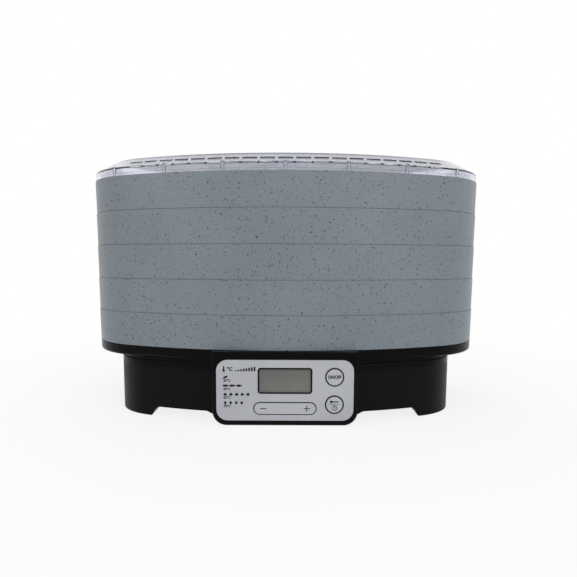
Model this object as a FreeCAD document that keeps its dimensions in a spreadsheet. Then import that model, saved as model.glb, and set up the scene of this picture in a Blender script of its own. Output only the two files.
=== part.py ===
"""Stacking food dehydrator: a black base with a fan and heater, five speckled trays and a clear vented lid.

Millimetres. +Z is up and -Y is the front. The origin is on the floor, under the middle of the tray stack.
"""

import FreeCAD, Part
import math
import os
import re

import Sketcher
from FreeCAD import Vector

TRAY_COUNT = 5

doc = FreeCAD.newDocument("food_dehydrator")
dims = doc.addObject("Spreadsheet::Sheet", "dims")

# Driving dimensions: alias, size, what it is.
DIMENSIONS = [
    ("tray_width", 430, "tray stack, side to side"),
    ("tray_depth", 290, "tray stack, front to back"),
    ("tray_front_radius", 393, "bow of the front and back walls"),
    ("tray_side_radius", 1050, "bow of the side walls"),
    ("tray_corner_radius", 86, "rounding of the stack's corners"),
    ("tray_pitch", 34.7, "height that each tray adds to the stack"),
    ("tray_wall", 2.4, "tray wall at its foot"),
    ("tray_draft", 0.5, "how much wider a tray is at its top, each side"),
    ("tray_floor", 2.6, "top of the tray's grid above the tray's foot"),
    ("grid_thickness", 1.6, "slotted grid that lies in a tray"),
    ("tray_ledge", 2.8, "ledge round the tray's foot that carries the grid"),
    ("tray_edge", 0.5, "chamfer that shows as a groove between trays"),
    ("skirt_depth", 4.5, "how far a skirt reaches into what is below it"),
    ("skirt_wall", 1.8, "thickness of that skirt"),
    ("nest_gap", 0.4, "clearance of nested and inset pieces"),
    ("cut_margin", 1, "how far a cut runs past the face that it opens"),
    ("grid_rim", 7, "solid border of the grid, inside the wall"),
    ("slot_length", 58, "grid slot, side to side"),
    ("slot_width", 4, "grid slot, front to back"),
    ("grid_bar", 2.4, "bar between two rows of slots"),
    ("grid_cross_bar", 5, "bar between two columns of slots"),
    ("lid_height", 20, "lid above the top tray"),
    ("lid_wall_height", 8, "upright part of the lid's wall"),
    ("lid_shoulder", 21.2, "how far the lid's shoulder leans in from the wall to the flat top"),
    ("lid_inset", 0.8, "lid wall inside the tray's outline"),
    ("lid_wall", 2.4, "lid wall"),
    ("lid_top", 2.2, "lid's flat top and shoulder"),
    ("lid_edge", 4, "rounding of the lid's top edge"),
    ("lid_shoulder_edge", 1.5, "rounding between the lid's wall and shoulder"),
    ("lid_ledge", 2.5, "height of the ledge that carries the lid's skirt"),
    ("lid_rib_width", 3, "upright rib inside the lid wall"),
    ("lid_rib_depth", 3, "how far that rib stands in from the wall"),
    ("lid_rib_root", 0.3, "how far that rib is rooted in the wall"),
    ("lid_rib_bite", 0.8, "how far that rib runs up past the wall into the shoulder"),
    ("lid_rib_angle", 8.95, "degrees between two ribs about the front bow's centre"),
    ("vent_length", 14.5, "lid vent slot along the shoulder"),
    ("vent_width", 2.6, "lid vent slot across the shoulder"),
    ("vent_inset", 10.5, "row of vents in from the tray's outline"),
    ("vent_angle", 2.59, "degrees between two vents about the front bow's centre"),
    ("base_height", 74, "floor to the face that the trays stand on"),
    ("flange_height", 11, "band that carries the trays"),
    ("flange_inset", 0.5, "band inside the tray's outline"),
    ("flange_wall", 2.4, "wall of the band"),
    ("flange_edge", 3, "rounding under the band"),
    ("shelf_thickness", 3, "web between the band and the lower body"),
    ("ledge_width", 14, "shelf inside the lower body's wall"),
    ("body_width", 372, "lower body, side to side"),
    ("body_depth", 282, "lower body, front to back"),
    ("body_front_radius", 385, "bow of the lower body's front and back"),
    ("body_side_radius", 600, "bow of the lower body's sides"),
    ("body_corner_radius", 60, "rounding of the lower body's corners"),
    ("body_wall", 3, "wall of the lower body"),
    ("neck_height", 3.5, "groove between the band and the lower body"),
    ("neck_depth", 1.2, "depth of that groove"),
    ("shoulder_edge", 1, "rounding of the lower body's shoulder below that groove"),
    ("pad_thickness", 2, "rubber pad under a foot"),
    ("pad_proud", 0.6, "how far that pad stands out of its seat"),
    ("pad_radius", 8, "rubber pad under a foot"),
    ("pad_place_x", 158, "rubber pad from the middle, sideways"),
    ("pad_place_y", 89, "rubber pad from the middle, front to back"),
    ("foot_height", 9.9, "foot below the lower body's edge"),
    ("foot_gap_x", 268, "gap between the feet at the lower body's edge, side to side"),
    ("foot_gap_y", 124, "gap between the feet at the lower body's edge, front to back"),
    ("foot_slope", 5.5, "how much wider the gap is at the floor, each side"),
    ("foot_toe", 2.5, "rounding of a foot's lower edge beside the gap"),
    ("foot_crook", 7, "rounding where the gap's sloping side meets the lower body's edge"),
    ("cover_thickness", 2.5, "bottom cover"),
    ("intake_radius", 62, "field of intake slots in the bottom cover"),
    ("intake_slot", 6, "width of an intake slot"),
    ("intake_pitch", 11, "spacing of intake slots"),
    ("boss_radius", 4.5, "screw boss"),
    ("screw_radius", 1.5, "screw shank"),
    ("screw_head", 3, "screw head"),
    ("screw_head_height", 1.8, "screw head"),
    ("screw_length", 9, "screw shank under its head"),
    ("screw_gap", 0.12, "clearance round a screw shank"),
    ("screw_tail", 1.5, "bracket screw past the sheets that it joins"),
    ("cover_boss_x", 100, "cover boss beside the front and back walls"),
    ("boss_inboard", 7, "boss centre inside the lower body's wall"),
    ("deck_thickness", 2.5, "deck over the fan and heater"),
    ("deck_screw_y", 40, "deck screw from the middle, front to back"),
    ("outlet_radius", 84, "air outlet in the deck"),
    ("outlet_lip", 3, "drip lip round the outlet, height"),
    ("outlet_lip_wall", 2.4, "drip lip round the outlet, thickness"),
    ("grille_height", 3, "outlet grille"),
    ("grille_bar", 2.4, "outlet grille ring and spoke"),
    ("grille_pitch", 11, "spacing of the grille rings"),
    ("shield_radius", 80, "inside of the heater's sheet-metal duct"),
    ("sheet", 0.8, "sheet-metal thickness"),
    ("shield_height", 28, "heater duct"),
    ("shield_flange", 13, "duct's flanges"),
    ("shield_bite", 2, "how far a duct screw bites into the deck"),
    ("fan_radius", 71, "fan over its blade tips"),
    ("fan_hub_radius", 15, "fan hub"),
    ("fan_height", 11, "fan hub"),
    ("fan_blade", 1.6, "fan blade thickness"),
    ("fan_pitch", 32, "fan blade angle in degrees"),
    ("fan_rise", 4, "fan above the motor bracket"),
    ("blade_root", 3, "how far a fan blade is rooted in the hub"),
    ("fan_fit", 0.02, "clearance of the fan's bore on the shaft"),
    ("shaft_radius", 2, "motor shaft"),
    ("shaft_gap", 0.05, "running clearance of the shaft"),
    ("shaft_seat", 12.6, "how far the shaft reaches into the motor"),
    ("shaft_proud", 1, "shaft above the fan hub"),
    ("motor_radius", 24, "motor can"),
    ("motor_height", 21, "motor can"),
    ("bracket_arm", 14, "motor bracket arm"),
    ("bracket_rim", 2, "bracket plate past the motor can"),
    ("bracket_inset", 1, "bracket arm's end inside the duct's flange"),
    ("bracket_bore", 6, "hole in the bracket round the shaft"),
    ("coil_radius", 3.2, "heater coil's own winding"),
    ("coil_inner", 38, "inner heater ring"),
    ("coil_outer", 60, "outer heater ring"),
    ("coil_drop", 5, "heater ring below the deck"),
    ("coil_gap", 0.2, "clearance of a heater ring in its notch"),
    ("mica_thickness", 1, "heater cross"),
    ("mica_height", 5.5, "heater cross"),
    ("mica_overhang", 2, "heater cross past the duct's wall"),
    ("mica_gap", 0.15, "clearance round the cross in the duct's slots"),
    ("pod_width", 143, "control pod"),
    ("pod_proud", 4.2, "control pod in front of the trays"),
    ("pod_back", 22, "control pod, front to back"),
    ("pod_wall", 2.6, "control pod's wall"),
    ("pod_corner", 14, "rounding of the pod's lower corners"),
    ("pod_edge", 1.2, "rounding of the pod's front edge"),
    ("pod_flare", 8, "slope from the pod's side into the lower body's edge"),
    ("flare_low", 1, "lower end of that slope above the pod's underside"),
    ("flare_round", 8, "hollow rounding where that slope meets the lower body's edge"),
    ("fascia_width", 134.5, "silver control plate"),
    ("fascia_height", 60.4, "silver control plate"),
    ("fascia_low", 5.8, "lower edge of the control plate"),
    ("fascia_corner", 11, "rounding of the control plate"),
    ("fascia_thickness", 2, "silver control plate"),
    ("fascia_recess", 1.6, "depth of the control plate's seat"),
    ("fascia_border", 7.3, "seat behind the control plate's edge, sideways"),
    ("fascia_border_z", 2.5, "seat behind the control plate's edge, top and bottom"),
    ("display_width", 51, "display window"),
    ("display_height", 24, "display window"),
    ("display_corner", 2.5, "rounding of the display window"),
    ("display_place_z", 45.6, "middle of the display"),
    ("display_border", 2.5, "display module past its window"),
    ("lens_thickness", 1.5, "display window"),
    ("lens_gap", 0.1, "display window in front of the plate's back"),
    ("module_gap", 0.2, "display module behind the plate"),
    ("button_radius", 9, "round button's hole"),
    ("button_place_x", 48.5, "round buttons from the middle"),
    ("power_key_z", 49.4, "upper round button"),
    ("mode_key_z", 22, "lower round button"),
    ("rocker_length", 62.3, "minus and plus rocker's hole"),
    ("rocker_height", 13.2, "minus and plus rocker's hole"),
    ("rocker_place_z", 18, "middle of the rocker"),
    ("rocker_reach", 21.4, "minus and plus from the rocker's middle"),
    ("key_gap", 0.35, "clearance round a key"),
    ("key_proud", 0.6, "key in front of the control plate"),
    ("key_cap", 3.2, "thickness of a key's cap"),
    ("key_flange", 1.2, "rim that holds a round key behind the plate"),
    ("key_flange_gap", 0.3, "that rim behind the plate"),
    ("key_flange_thickness", 1, "that rim"),
    ("key_stem", 2.6, "radius of a key's stem"),
    ("stem_root", 0.5, "front end of a stem behind the plate"),
    ("key_rest", 0.9, "gap between a key's stem and its switch"),
    ("pivot_radius", 1.2, "rocker's pivot pin"),
    ("pivot_ear", 1.7, "ear that holds the pivot pin"),
    ("pivot_ear_width", 6, "that ear, side to side"),
    ("pivot_ear_gap", 0.9, "that ear outside the rocker's hole"),
    ("pivot_ear_tail", 1.2, "that ear behind the pin"),
    ("pivot_wall", 1, "wall round the pin in the rocker"),
    ("switch_size", 6, "push switch"),
    ("switch_height", 3.5, "push switch"),
    ("switch_plunger", 1.5, "push switch's plunger"),
    ("plunger_radius", 1.7, "push switch's plunger"),
    ("board_thickness", 1.6, "circuit board"),
    ("board_back", 12, "control board behind the pod's front"),
    ("board_edge", 2, "control board inside the pod's wall"),
    ("board_boss_room", 0.6, "board screw boss inside the board's edge"),
    ("small_screw", 1.1, "board screw shank"),
    ("small_head", 2.2, "board screw head"),
    ("small_boss", 2.8, "board screw boss"),
    ("small_bite", 4, "how far a board screw bites into its boss"),
    ("power_board_x", -120, "middle of the power board"),
    ("power_board_y", 50, "middle of the power board"),
    ("power_board_width", 86, "power board"),
    ("power_board_depth", 56, "power board"),
    ("power_board_rise", 7, "power board above the bottom cover"),
    ("power_screw_inset", 5, "power board screw from the board's edges"),
    ("capacitor_x", 26, "capacitor from the power board's middle"),
    ("capacitor_y", 14, "capacitor from the power board's middle"),
    ("capacitor_radius", 5, "capacitor"),
    ("capacitor_height", 14, "capacitor"),
    ("gland_radius", 7, "cord gland in the back wall"),
    ("gland_bore", 3.5, "hole for the mains cord"),
    ("gland_flange", 2.4, "cord gland's outer flange, outwards"),
    ("gland_inner_flange", 1.6, "cord gland's inner flange, outwards"),
    ("gland_lip", 2.5, "thickness of the gland's flanges"),
    ("gland_seat", 0.2, "clearance between those flanges and the wall"),
    ("gland_fit", 0.1, "clearance of the gland in its hole"),
    ("gland_place_z", 30, "middle of the cord gland"),
    ("cutout_radius", 6, "thermal cut-out"),
    ("cutout_height", 5, "thermal cut-out"),
    ("cutout_gap", 0.2, "thermal cut-out off the duct's wall"),
    ("sensor_radius", 2, "temperature sensor"),
    ("sensor_length", 9, "temperature sensor"),
    ("sensor_collar", 3.6, "radius of the sensor's collar"),
    ("sensor_collar_height", 1, "height of the sensor's collar"),
    ("sensor_place", 72, "temperature sensor from the middle, each way"),
    ("lead_radius", 1.6, "inside lead"),
    ("lead_bend", 10, "bend of an inside lead"),
    ("lead_gap", 0.3, "clearance at the ends of an inside lead"),
    ("lead_room", 5, "inside lead's distance from a screw boss"),
    ("lead_rise", 5, "inside lead above the power board"),
    ("panel_lead_x", 50, "panel lead from the middle, sideways"),
]

# Blocks on the power board: name, offset from the board's middle, plan size and height.
BLOCKS = [
    ("transformer", -24, 6, 26, 24, 22),
    ("relay", 8, 4, 20, 16, 15),
    ("mains_socket", 10, 23, 14, 9, 14),
    ("motor_socket", 37, -8, 10, 14, 10),
    ("panel_socket", 0, -22, 16, 9, 10),
]
for name, *sizes in BLOCKS:
    for side, size in zip(("x", "y", "width", "depth", "height"), sizes):
        DIMENSIONS.append((f"{name}_{side}", size, f"{name} on the power board, {side}"))

for row, (alias, size, words) in enumerate(DIMENSIONS, start=1):
    dims.set(f"A{row}", alias)
    dims.set(f"B{row}", str(size))
    dims.set(f"C{row}", words)
    dims.setAlias(f"B{row}", alias)
doc.recompute()

ALIASES = {alias for alias, size, words in DIMENSIONS}


def bound(text):
    """The expression that text stands for, with every alias read from the sheet."""
    return re.sub(r"[a-z_]+", lambda m: f"dims.{m[0]}" if m[0] in ALIASES else m[0], text)


def value(text):
    """What text comes to with the sheet's sizes, as a number."""
    found = dims.evalExpression(bound(text))
    return float(getattr(found, "Value", found))


def bind(thing, name, text):
    thing.setExpression(name, bound(text))


# Heights above the floor.
COVER_UNDER = "(pad_proud + foot_height)"
COVER_TOP = f"({COVER_UNDER} + cover_thickness)"
SHELF_UNDER = "(base_height - flange_height)"
SHELF_TOP = f"({SHELF_UNDER} + shelf_thickness)"
DECK_TOP = f"({SHELF_TOP} + deck_thickness)"
SHIELD_LOW = f"({SHELF_TOP} - shield_height)"
BRACKET_UNDER = f"({SHIELD_LOW} - sheet)"
FAN_LOW = f"({SHIELD_LOW} + fan_rise)"
COIL_HEIGHT = f"({SHELF_TOP} - coil_drop)"
TRAYS_TOP = f"(base_height + {TRAY_COUNT} * tray_pitch)"

# Distances in front of the stack's middle.
POD_FRONT = "(tray_depth / 2 + pod_proud)"
FASCIA_BACK = f"({POD_FRONT} - fascia_recess)"
FASCIA_FRONT = f"({FASCIA_BACK} + fascia_thickness)"
POD_INSIDE = f"({FASCIA_BACK} - pod_wall)"
KEY_FRONT = f"({FASCIA_FRONT} + key_proud)"
BOARD_FRONT = f"({POD_FRONT} - board_back)"
SWITCH_FRONT = f"({BOARD_FRONT} + switch_height)"
PLUNGER_FRONT = f"({SWITCH_FRONT} + switch_plunger)"
STEM_BACK = f"({PLUNGER_FRONT} + key_rest)"
PIVOT_FRONT = f"({FASCIA_BACK} - pivot_radius - pivot_wall)"

# Insets from the tray's outline.
TRAY_INSIDE = "(tray_draft + tray_wall)"
SKIRT_OUTSIDE = f"({TRAY_INSIDE} + nest_gap)"
SKIRT_INSIDE = f"({SKIRT_OUTSIDE} + skirt_wall)"
LID_INSIDE = "(lid_inset + lid_wall)"
FLANGE_INSIDE = "(flange_inset + flange_wall)"
FRONT_BOW_CENTRE = "(tray_front_radius - tray_depth / 2)"


# Bodies and sketches
def new_body(label, several=False):
    """An empty body. A group of like pieces holds several solids."""
    body = doc.addObject("PartDesign::Body", label)
    body.Label = label
    body.AllowCompound = several
    return body


def sketch_on(body, role, offset="0", along_y="0", turn="0"):
    """A sketch on one of the body's own planes, moved along that plane's normal, up it, and turned on it."""
    sketch = body.newObject("Sketcher::SketchObject", f"{body.Name}_sketch")
    plane = next(f for f in body.Origin.OriginFeatures if f.Role == role)
    sketch.AttachmentSupport = [(plane, "")]
    sketch.MapMode = "FlatFace"
    moves = {"Base.z": offset, "Base.y": along_y, "Rotation.Angle": turn}
    for name, text in moves.items():
        if text != "0":
            bind(sketch, f"AttachmentOffset.{name}", text)
    return sketch


def hold(sketch, kind, geometry, text):
    """Adds a constraint whose size follows text."""
    place = sketch.addConstraint(Sketcher.Constraint(kind, *geometry, value(text)))
    name = f"held_{place}"
    sketch.renameConstraint(place, name)
    bind(sketch, f"Constraints.{name}", text)


def hold_point(sketch, geometry, end, x, y):
    """Puts a point of the sketch at x, y from its origin."""
    for kind, text in (("DistanceX", x), ("DistanceY", y)):
        if value(text) < 0:
            hold(sketch, kind, (geometry, end, -1, 1), f"-({text})")
        else:
            hold(sketch, kind, (-1, 1, geometry, end), text)


def join(sketch, ring, kind):
    for geometry, following in zip(ring, ring[1:] + ring[:1]):
        sketch.addConstraint(Sketcher.Constraint(kind, geometry, 2, following, 1))


def add_arc(sketch, x, y, radius, start, end):
    circle = Part.Circle(Vector(x, y, 0), Vector(0, 0, 1), radius)
    return sketch.addGeometry(Part.ArcOfCircle(circle, start, end), False)


def add_outline(sketch, family, inset):
    """The bowed oblong that the trays or the lower body have in plan, moved inwards by inset.

    Four long arcs bow outwards and four corner arcs run tangent into them.
    """
    front_radius = f"{family}_front_radius - {inset}"
    side_radius = f"{family}_side_radius - {inset}"
    corner_radius = f"{family}_corner_radius - {inset}"
    front_centre = f"{family}_front_radius - {family}_depth / 2"
    side_centre = f"{family}_side_radius - {family}_width / 2"
    front, side, corner = value(front_radius), value(side_radius), value(corner_radius)
    bow_y, bow_x = value(front_centre), value(side_centre)

    # The front right corner's centre is a known distance from the centres of both bows.
    apart = math.hypot(bow_x, bow_y)
    along = (apart**2 + (front - corner) ** 2 - (side - corner) ** 2) / (2 * apart)
    aside = math.sqrt((front - corner) ** 2 - along**2)
    x = -bow_x / apart * along + bow_y / apart * aside
    y = bow_y - bow_y / apart * along - bow_x / apart * aside
    low = math.atan2(y - bow_y, x)
    high = math.atan2(y, x + bow_x)
    half = math.pi

    ring = [
        add_arc(sketch, 0, bow_y, front, -half - low, low),
        add_arc(sketch, x, y, corner, low, high),
        add_arc(sketch, -bow_x, 0, side, high, -high),
        add_arc(sketch, x, -y, corner, -high, -low),
        add_arc(sketch, 0, -bow_y, front, -low, half + low),
        add_arc(sketch, -x, -y, corner, half + low, half + high),
        add_arc(sketch, bow_x, 0, side, half + high, half - high),
        add_arc(sketch, -x, y, corner, half - high, half - low),
    ]
    join(sketch, ring, "Tangent")
    for place, arc in enumerate(ring):
        radius = corner_radius if place % 2 else (front_radius, side_radius)[place // 2 % 2]
        hold(sketch, "Radius", (arc,), radius)
    for place, axis in ((0, -2), (2, -1), (4, -2), (6, -1)):
        sketch.addConstraint(Sketcher.Constraint("PointOnObject", ring[place], 3, axis))
    hold(sketch, "DistanceY", (-1, 1, ring[0], 3), front_centre)
    hold(sketch, "DistanceX", (ring[2], 3, -1, 1), side_centre)
    hold(sketch, "DistanceY", (ring[4], 3, -1, 1), front_centre)
    hold(sketch, "DistanceX", (-1, 1, ring[6], 3), side_centre)


def add_polygon(sketch, points):
    """A closed polygon with each corner held at its x, y."""
    places = [Vector(value(x), value(y), 0) for x, y in points]
    ring = [
        sketch.addGeometry(Part.LineSegment(here, there), False)
        for here, there in zip(places, places[1:] + places[:1])
    ]
    join(sketch, ring, "Coincident")
    for line, (x, y) in zip(ring, points):
        hold_point(sketch, line, 1, x, y)


def add_rectangle(sketch, x, y, width, height):
    """A rectangle about x, y."""
    left, right = f"{x} - {width} / 2", f"{x} + {width} / 2"
    low, high = f"{y} - {height} / 2", f"{y} + {height} / 2"
    add_polygon(sketch, [(left, low), (right, low), (right, high), (left, high)])


def add_circle(sketch, x, y, radius):
    circle = Part.Circle(Vector(value(x), value(y), 0), Vector(0, 0, 1), value(radius))
    place = sketch.addGeometry(circle, False)
    hold_point(sketch, place, 3, x, y)
    hold(sketch, "Radius", (place,), radius)


def add_pill(sketch, x, y, length, height):
    """A slot with round ends about x, y."""
    radius, reach = f"{height} / 2", f"({length} - {height}) / 2"
    left, right, middle = value(f"{x} - {reach}"), value(f"{x} + {reach}"), value(y)
    r, quarter = value(radius), math.pi / 2
    ring = [
        sketch.addGeometry(Part.LineSegment(Vector(left, middle - r), Vector(right, middle - r)), False),
        add_arc(sketch, right, middle, r, -quarter, quarter),
        sketch.addGeometry(Part.LineSegment(Vector(right, middle + r), Vector(left, middle + r)), False),
        add_arc(sketch, left, middle, r, quarter, 3 * quarter),
    ]
    join(sketch, ring, "Tangent")
    for arc, side in ((ring[1], "+"), (ring[3], "-")):
        hold_point(sketch, arc, 3, f"{x} {side} {reach}", y)
        hold(sketch, "Radius", (arc,), radius)


def add_rounded_rectangle(sketch, x, y, width, height, radius):
    """A rectangle about x, y with round corners."""
    r = value(radius)
    left, right = value(f"{x} - {width} / 2"), value(f"{x} + {width} / 2")
    low, high = value(f"{y} - {height} / 2"), value(f"{y} + {height} / 2")
    corners = [(right - r, low + r), (right - r, high - r), (left + r, high - r), (left + r, low + r)]
    ring = []
    for turn, (cx, cy) in enumerate(corners):
        start = (turn - 1) * math.pi / 2
        here = Vector(cx + r * math.cos(start), cy + r * math.sin(start))
        before = corners[turn - 1]
        there = Vector(before[0] + r * math.cos(start), before[1] + r * math.sin(start))
        line = sketch.addGeometry(Part.LineSegment(there, here), False)
        sketch.addConstraint(Sketcher.Constraint("Vertical" if turn % 2 else "Horizontal", line))
        arc = add_arc(sketch, cx, cy, r, start, start + math.pi / 2)
        hold(sketch, "Radius", (arc,), radius)
        ring += [line, arc]
    join(sketch, ring, "Tangent")
    hold_point(sketch, ring[1], 3, f"{x} + {width} / 2 - {radius}", f"{y} - {height} / 2 + {radius}")
    hold_point(sketch, ring[5], 3, f"{x} - {width} / 2 + {radius}", f"{y} + {height} / 2 - {radius}")


def add_tub(sketch, width, low, high, radius):
    """A rectangle about the sketch's upright axis with round lower corners."""
    r, x = value(radius), value(f"{width} / 2")
    bottom, top, quarter = value(low), value(high), math.pi / 2

    def line(*ends):
        here, there = (Vector(*end) for end in ends)
        return sketch.addGeometry(Part.LineSegment(here, there), False)

    ring = [
        line((r - x, bottom), (x - r, bottom)),
        add_arc(sketch, x - r, bottom + r, r, -quarter, 0),
        line((x, bottom + r), (x, top)),
        line((x, top), (-x, top)),
        line((-x, top), (-x, bottom + r)),
        add_arc(sketch, r - x, bottom + r, r, 2 * quarter, 3 * quarter),
    ]
    for place, one in enumerate(ring):
        kind = "Coincident" if place in (2, 3) else "Tangent"
        sketch.addConstraint(Sketcher.Constraint(kind, one, 2, ring[place - 5], 1))
    for kind, place in (("Horizontal", 0), ("Vertical", 2), ("Horizontal", 3), ("Vertical", 4)):
        sketch.addConstraint(Sketcher.Constraint(kind, ring[place]))
    hold(sketch, "Radius", (ring[1],), radius)
    hold(sketch, "Radius", (ring[5],), radius)
    hold_point(sketch, ring[1], 3, f"{width} / 2 - {radius}", f"{low} + {radius}")
    hold(sketch, "DistanceX", (ring[5], 3, -1, 1), f"{width} / 2 - {radius}")
    hold(sketch, "DistanceY", (-1, 1, ring[3], 1), high)


def add_bay(sketch, foot, roof, low, high, toe, crook):
    """A gap with sloping sides about the sketch's upright axis, round at its roof and where it opens."""
    lean = math.atan2(value(foot) - value(roof), value(high) - value(low))
    share = f"tan((90 deg - atan(({foot} - {roof}) / ({high} - {low}))) / 2)"
    toe_place = (f"({foot} + {toe} * {share})", f"({low} + {toe})")
    crook_place = (f"({roof} - {crook} * {share})", f"({high} - {crook})")
    quarter = math.pi / 2
    arcs = []
    for side, radius, (x, y), start, end in (
        ("", toe, toe_place, 2 * quarter + lean, 3 * quarter),
        ("", crook, crook_place, lean, quarter),
        ("-", crook, crook_place, quarter, 2 * quarter - lean),
        ("-", toe, toe_place, -quarter, -lean),
    ):
        arc = add_arc(sketch, value(f"{side}{x}"), value(y), value(radius), start, end)
        hold(sketch, "Radius", (arc,), radius)
        hold_point(sketch, arc, 3, f"{side}{x}", y)
        arcs.append(arc)
    right_toe, right_crook, left_crook, left_toe = arcs
    for here, there in (
        ((left_toe, 1), (right_toe, 2)),
        ((right_toe, 1), (right_crook, 1)),
        ((right_crook, 2), (left_crook, 1)),
        ((left_crook, 2), (left_toe, 2)),
    ):
        line = sketch.addGeometry(Part.LineSegment(sketch.getPoint(*here), sketch.getPoint(*there)), False)
        sketch.addConstraint(Sketcher.Constraint("Tangent", line, 1, *here))
        sketch.addConstraint(Sketcher.Constraint("Tangent", line, 2, *there))


# Features
def pad(body, sketch, length, back=False, taper="0"):
    """Raises a sketch along its normal, or against it if back."""
    feature = body.newObject("PartDesign::Pad", f"{body.Name}_pad")
    feature.Profile = sketch
    feature.Reversed = back
    bind(feature, "Length", length)
    if taper != "0":
        bind(feature, "TaperAngle", taper)
    doc.recompute()
    return feature


def pocket(body, sketch, depth=None, back=False, taper="0"):
    """Cuts depth deep against the sketch's normal, or along it if back, or right through both ways."""
    before = body.Shape.Volume
    feature = body.newObject("PartDesign::Pocket", f"{body.Name}_pocket")
    feature.Profile = sketch
    feature.Reversed = back
    if depth is None:
        feature.Type = "ThroughAll"
        feature.Midplane = True
    else:
        bind(feature, "Length", depth)
    if taper != "0":
        bind(feature, "TaperAngle", taper)
    doc.recompute()
    if not body.Shape.Volume < before - 1e-6:
        raise RuntimeError(f"{body.Label}: {feature.Name} cuts nothing")
    return feature


def ease(body, kind, size, edges):
    """A PartDesign Fillet or Chamfer on the edges of the body that edges picks."""
    base = body.Tip
    names = [f"Edge{n}" for n, edge in enumerate(base.Shape.Edges, start=1) if edges(edge)]
    if not names:
        raise RuntimeError(f"{body.Label}: no edges to ease")
    feature = body.newObject(f"PartDesign::{kind}", f"{body.Name}_{kind.lower()}")
    feature.Base = (base, names)
    bind(feature, "Radius" if kind == "Fillet" else "Size", size)
    doc.recompute()
    return feature


UP, DOWN, FORWARD = Vector(0, 0, 1), Vector(0, 0, -1), Vector(0, -1, 0)


def rim_edges(body, facing, level):
    """Picks the outer edges of the body's flat faces that face one way, at a level along that way."""
    rim = []
    for face in body.Tip.Shape.Faces:
        flat = isinstance(face.Surface, Part.Plane)
        if flat and face.normalAt(0, 0).dot(facing) > 0.999:
            if abs(face.CenterOfMass.dot(facing) - value(level)) < 1e-4:
                rim += face.OuterWire.Edges
    return lambda edge: any(edge.isSame(other) for other in rim)


def level_edges(level):
    """Picks the edges that lie flat at one height."""
    return lambda edge: all(abs(corner.Z - value(level)) < 1e-4 for corner in edge.Vertexes)


def pattern(body, kind, original, **settings):
    """Repeats a feature. Settings that are text are bound to the sheet."""
    feature = body.newObject(f"PartDesign::{kind}", f"{body.Name}_{kind.lower()}")
    feature.Originals = [original]
    for name, setting in settings.items():
        if isinstance(setting, str):
            bind(feature, name, setting)
        else:
            setattr(feature, name, setting)
    body.Tip = feature
    doc.recompute()
    return feature


def ring_pad(body, family, outside, inside, offset, length, back=False):
    """A wall between two insets of one outline."""
    sketch = sketch_on(body, "XY_Plane", offset)
    add_outline(sketch, family, outside)
    add_outline(sketch, family, inside)
    return pad(body, sketch, length, back)


def discs(body, role, places, radius, offset, length, back=False):
    """Round pads of one radius at several places."""
    sketch = sketch_on(body, role, offset)
    for x, y in places:
        add_circle(sketch, x, y, radius)
    return pad(body, sketch, length, back)


def holes(body, role, places, radius, offset, depth, back=False):
    """Round holes of one radius at several places."""
    sketch = sketch_on(body, role, offset)
    for x, y in places:
        add_circle(sketch, x, y, radius)
    return pocket(body, sketch, depth, back)


def block(body, role, x, y, width, height, offset, length, back=False):
    """A box that stands on one of the body's planes."""
    sketch = sketch_on(body, role, offset)
    add_rectangle(sketch, x, y, width, height)
    return pad(body, sketch, length, back)


def screws(label, role, places, seat, length, shank, head, head_back):
    """A group of pan-head screws. The seat is where the heads bear, on the side that head_back says."""
    body = new_body(label, several=True)
    discs(body, role, places, head, seat, "screw_head_height", back=head_back)
    discs(body, role, places, shank, seat, length, back=not head_back)
    return body


def both_ways(x, y):
    """The four places at plus and minus x and y."""
    return [(sx + x, sy + y) for sx in ("", "-") for sy in ("", "-")]


SUB_PARTS = []


def keep(thing, label=None):
    """Marks an object as one of the finished sub-parts."""
    if label:
        thing.Label = label
    SUB_PARTS.append(thing)
    return thing


# Trays
# A frame is a thin drafted wall with a ledge round its foot and a skirt that nests in the tray below.
# A grid lies on the ledge. Its long slots are kept inside a solid border.
LEDGE_TOP = "(tray_floor - grid_thickness)"
frame = keep(new_body("tray_1"))
sketch = sketch_on(frame, "XY_Plane")
add_outline(sketch, "tray", "tray_draft")
pad(frame, sketch, "tray_pitch", taper="atan(tray_draft / tray_pitch)")
sketch = sketch_on(frame, "XY_Plane", "tray_pitch")
add_outline(sketch, "tray", TRAY_INSIDE)
pocket(frame, sketch, f"tray_pitch - {LEDGE_TOP}")
sketch = sketch_on(frame, "XY_Plane", LEDGE_TOP)
add_outline(sketch, "tray", f"({TRAY_INSIDE} + tray_ledge)")
pocket(frame, sketch, LEDGE_TOP)
ease(frame, "Chamfer", "tray_edge", rim_edges(frame, UP, "tray_pitch"))
ease(frame, "Chamfer", "tray_edge", rim_edges(frame, DOWN, "0"))
ring_pad(frame, "tray", SKIRT_OUTSIDE, SKIRT_INSIDE, "0", "skirt_depth", back=True)

plate = new_body("tray_grid_plate")
sketch = sketch_on(plate, "XY_Plane", LEDGE_TOP)
add_outline(sketch, "tray", f"({TRAY_INSIDE} + nest_gap)")
pad(plate, sketch, "grid_thickness")

SLOT_DEPTH = "(tray_floor + 2 * cut_margin)"
slot_field = new_body("tray_slot_field")
sketch = sketch_on(slot_field, "XY_Plane", "-cut_margin")
add_outline(sketch, "tray", f"({TRAY_INSIDE} + grid_rim)")
pad(slot_field, sketch, SLOT_DEPTH)

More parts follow.
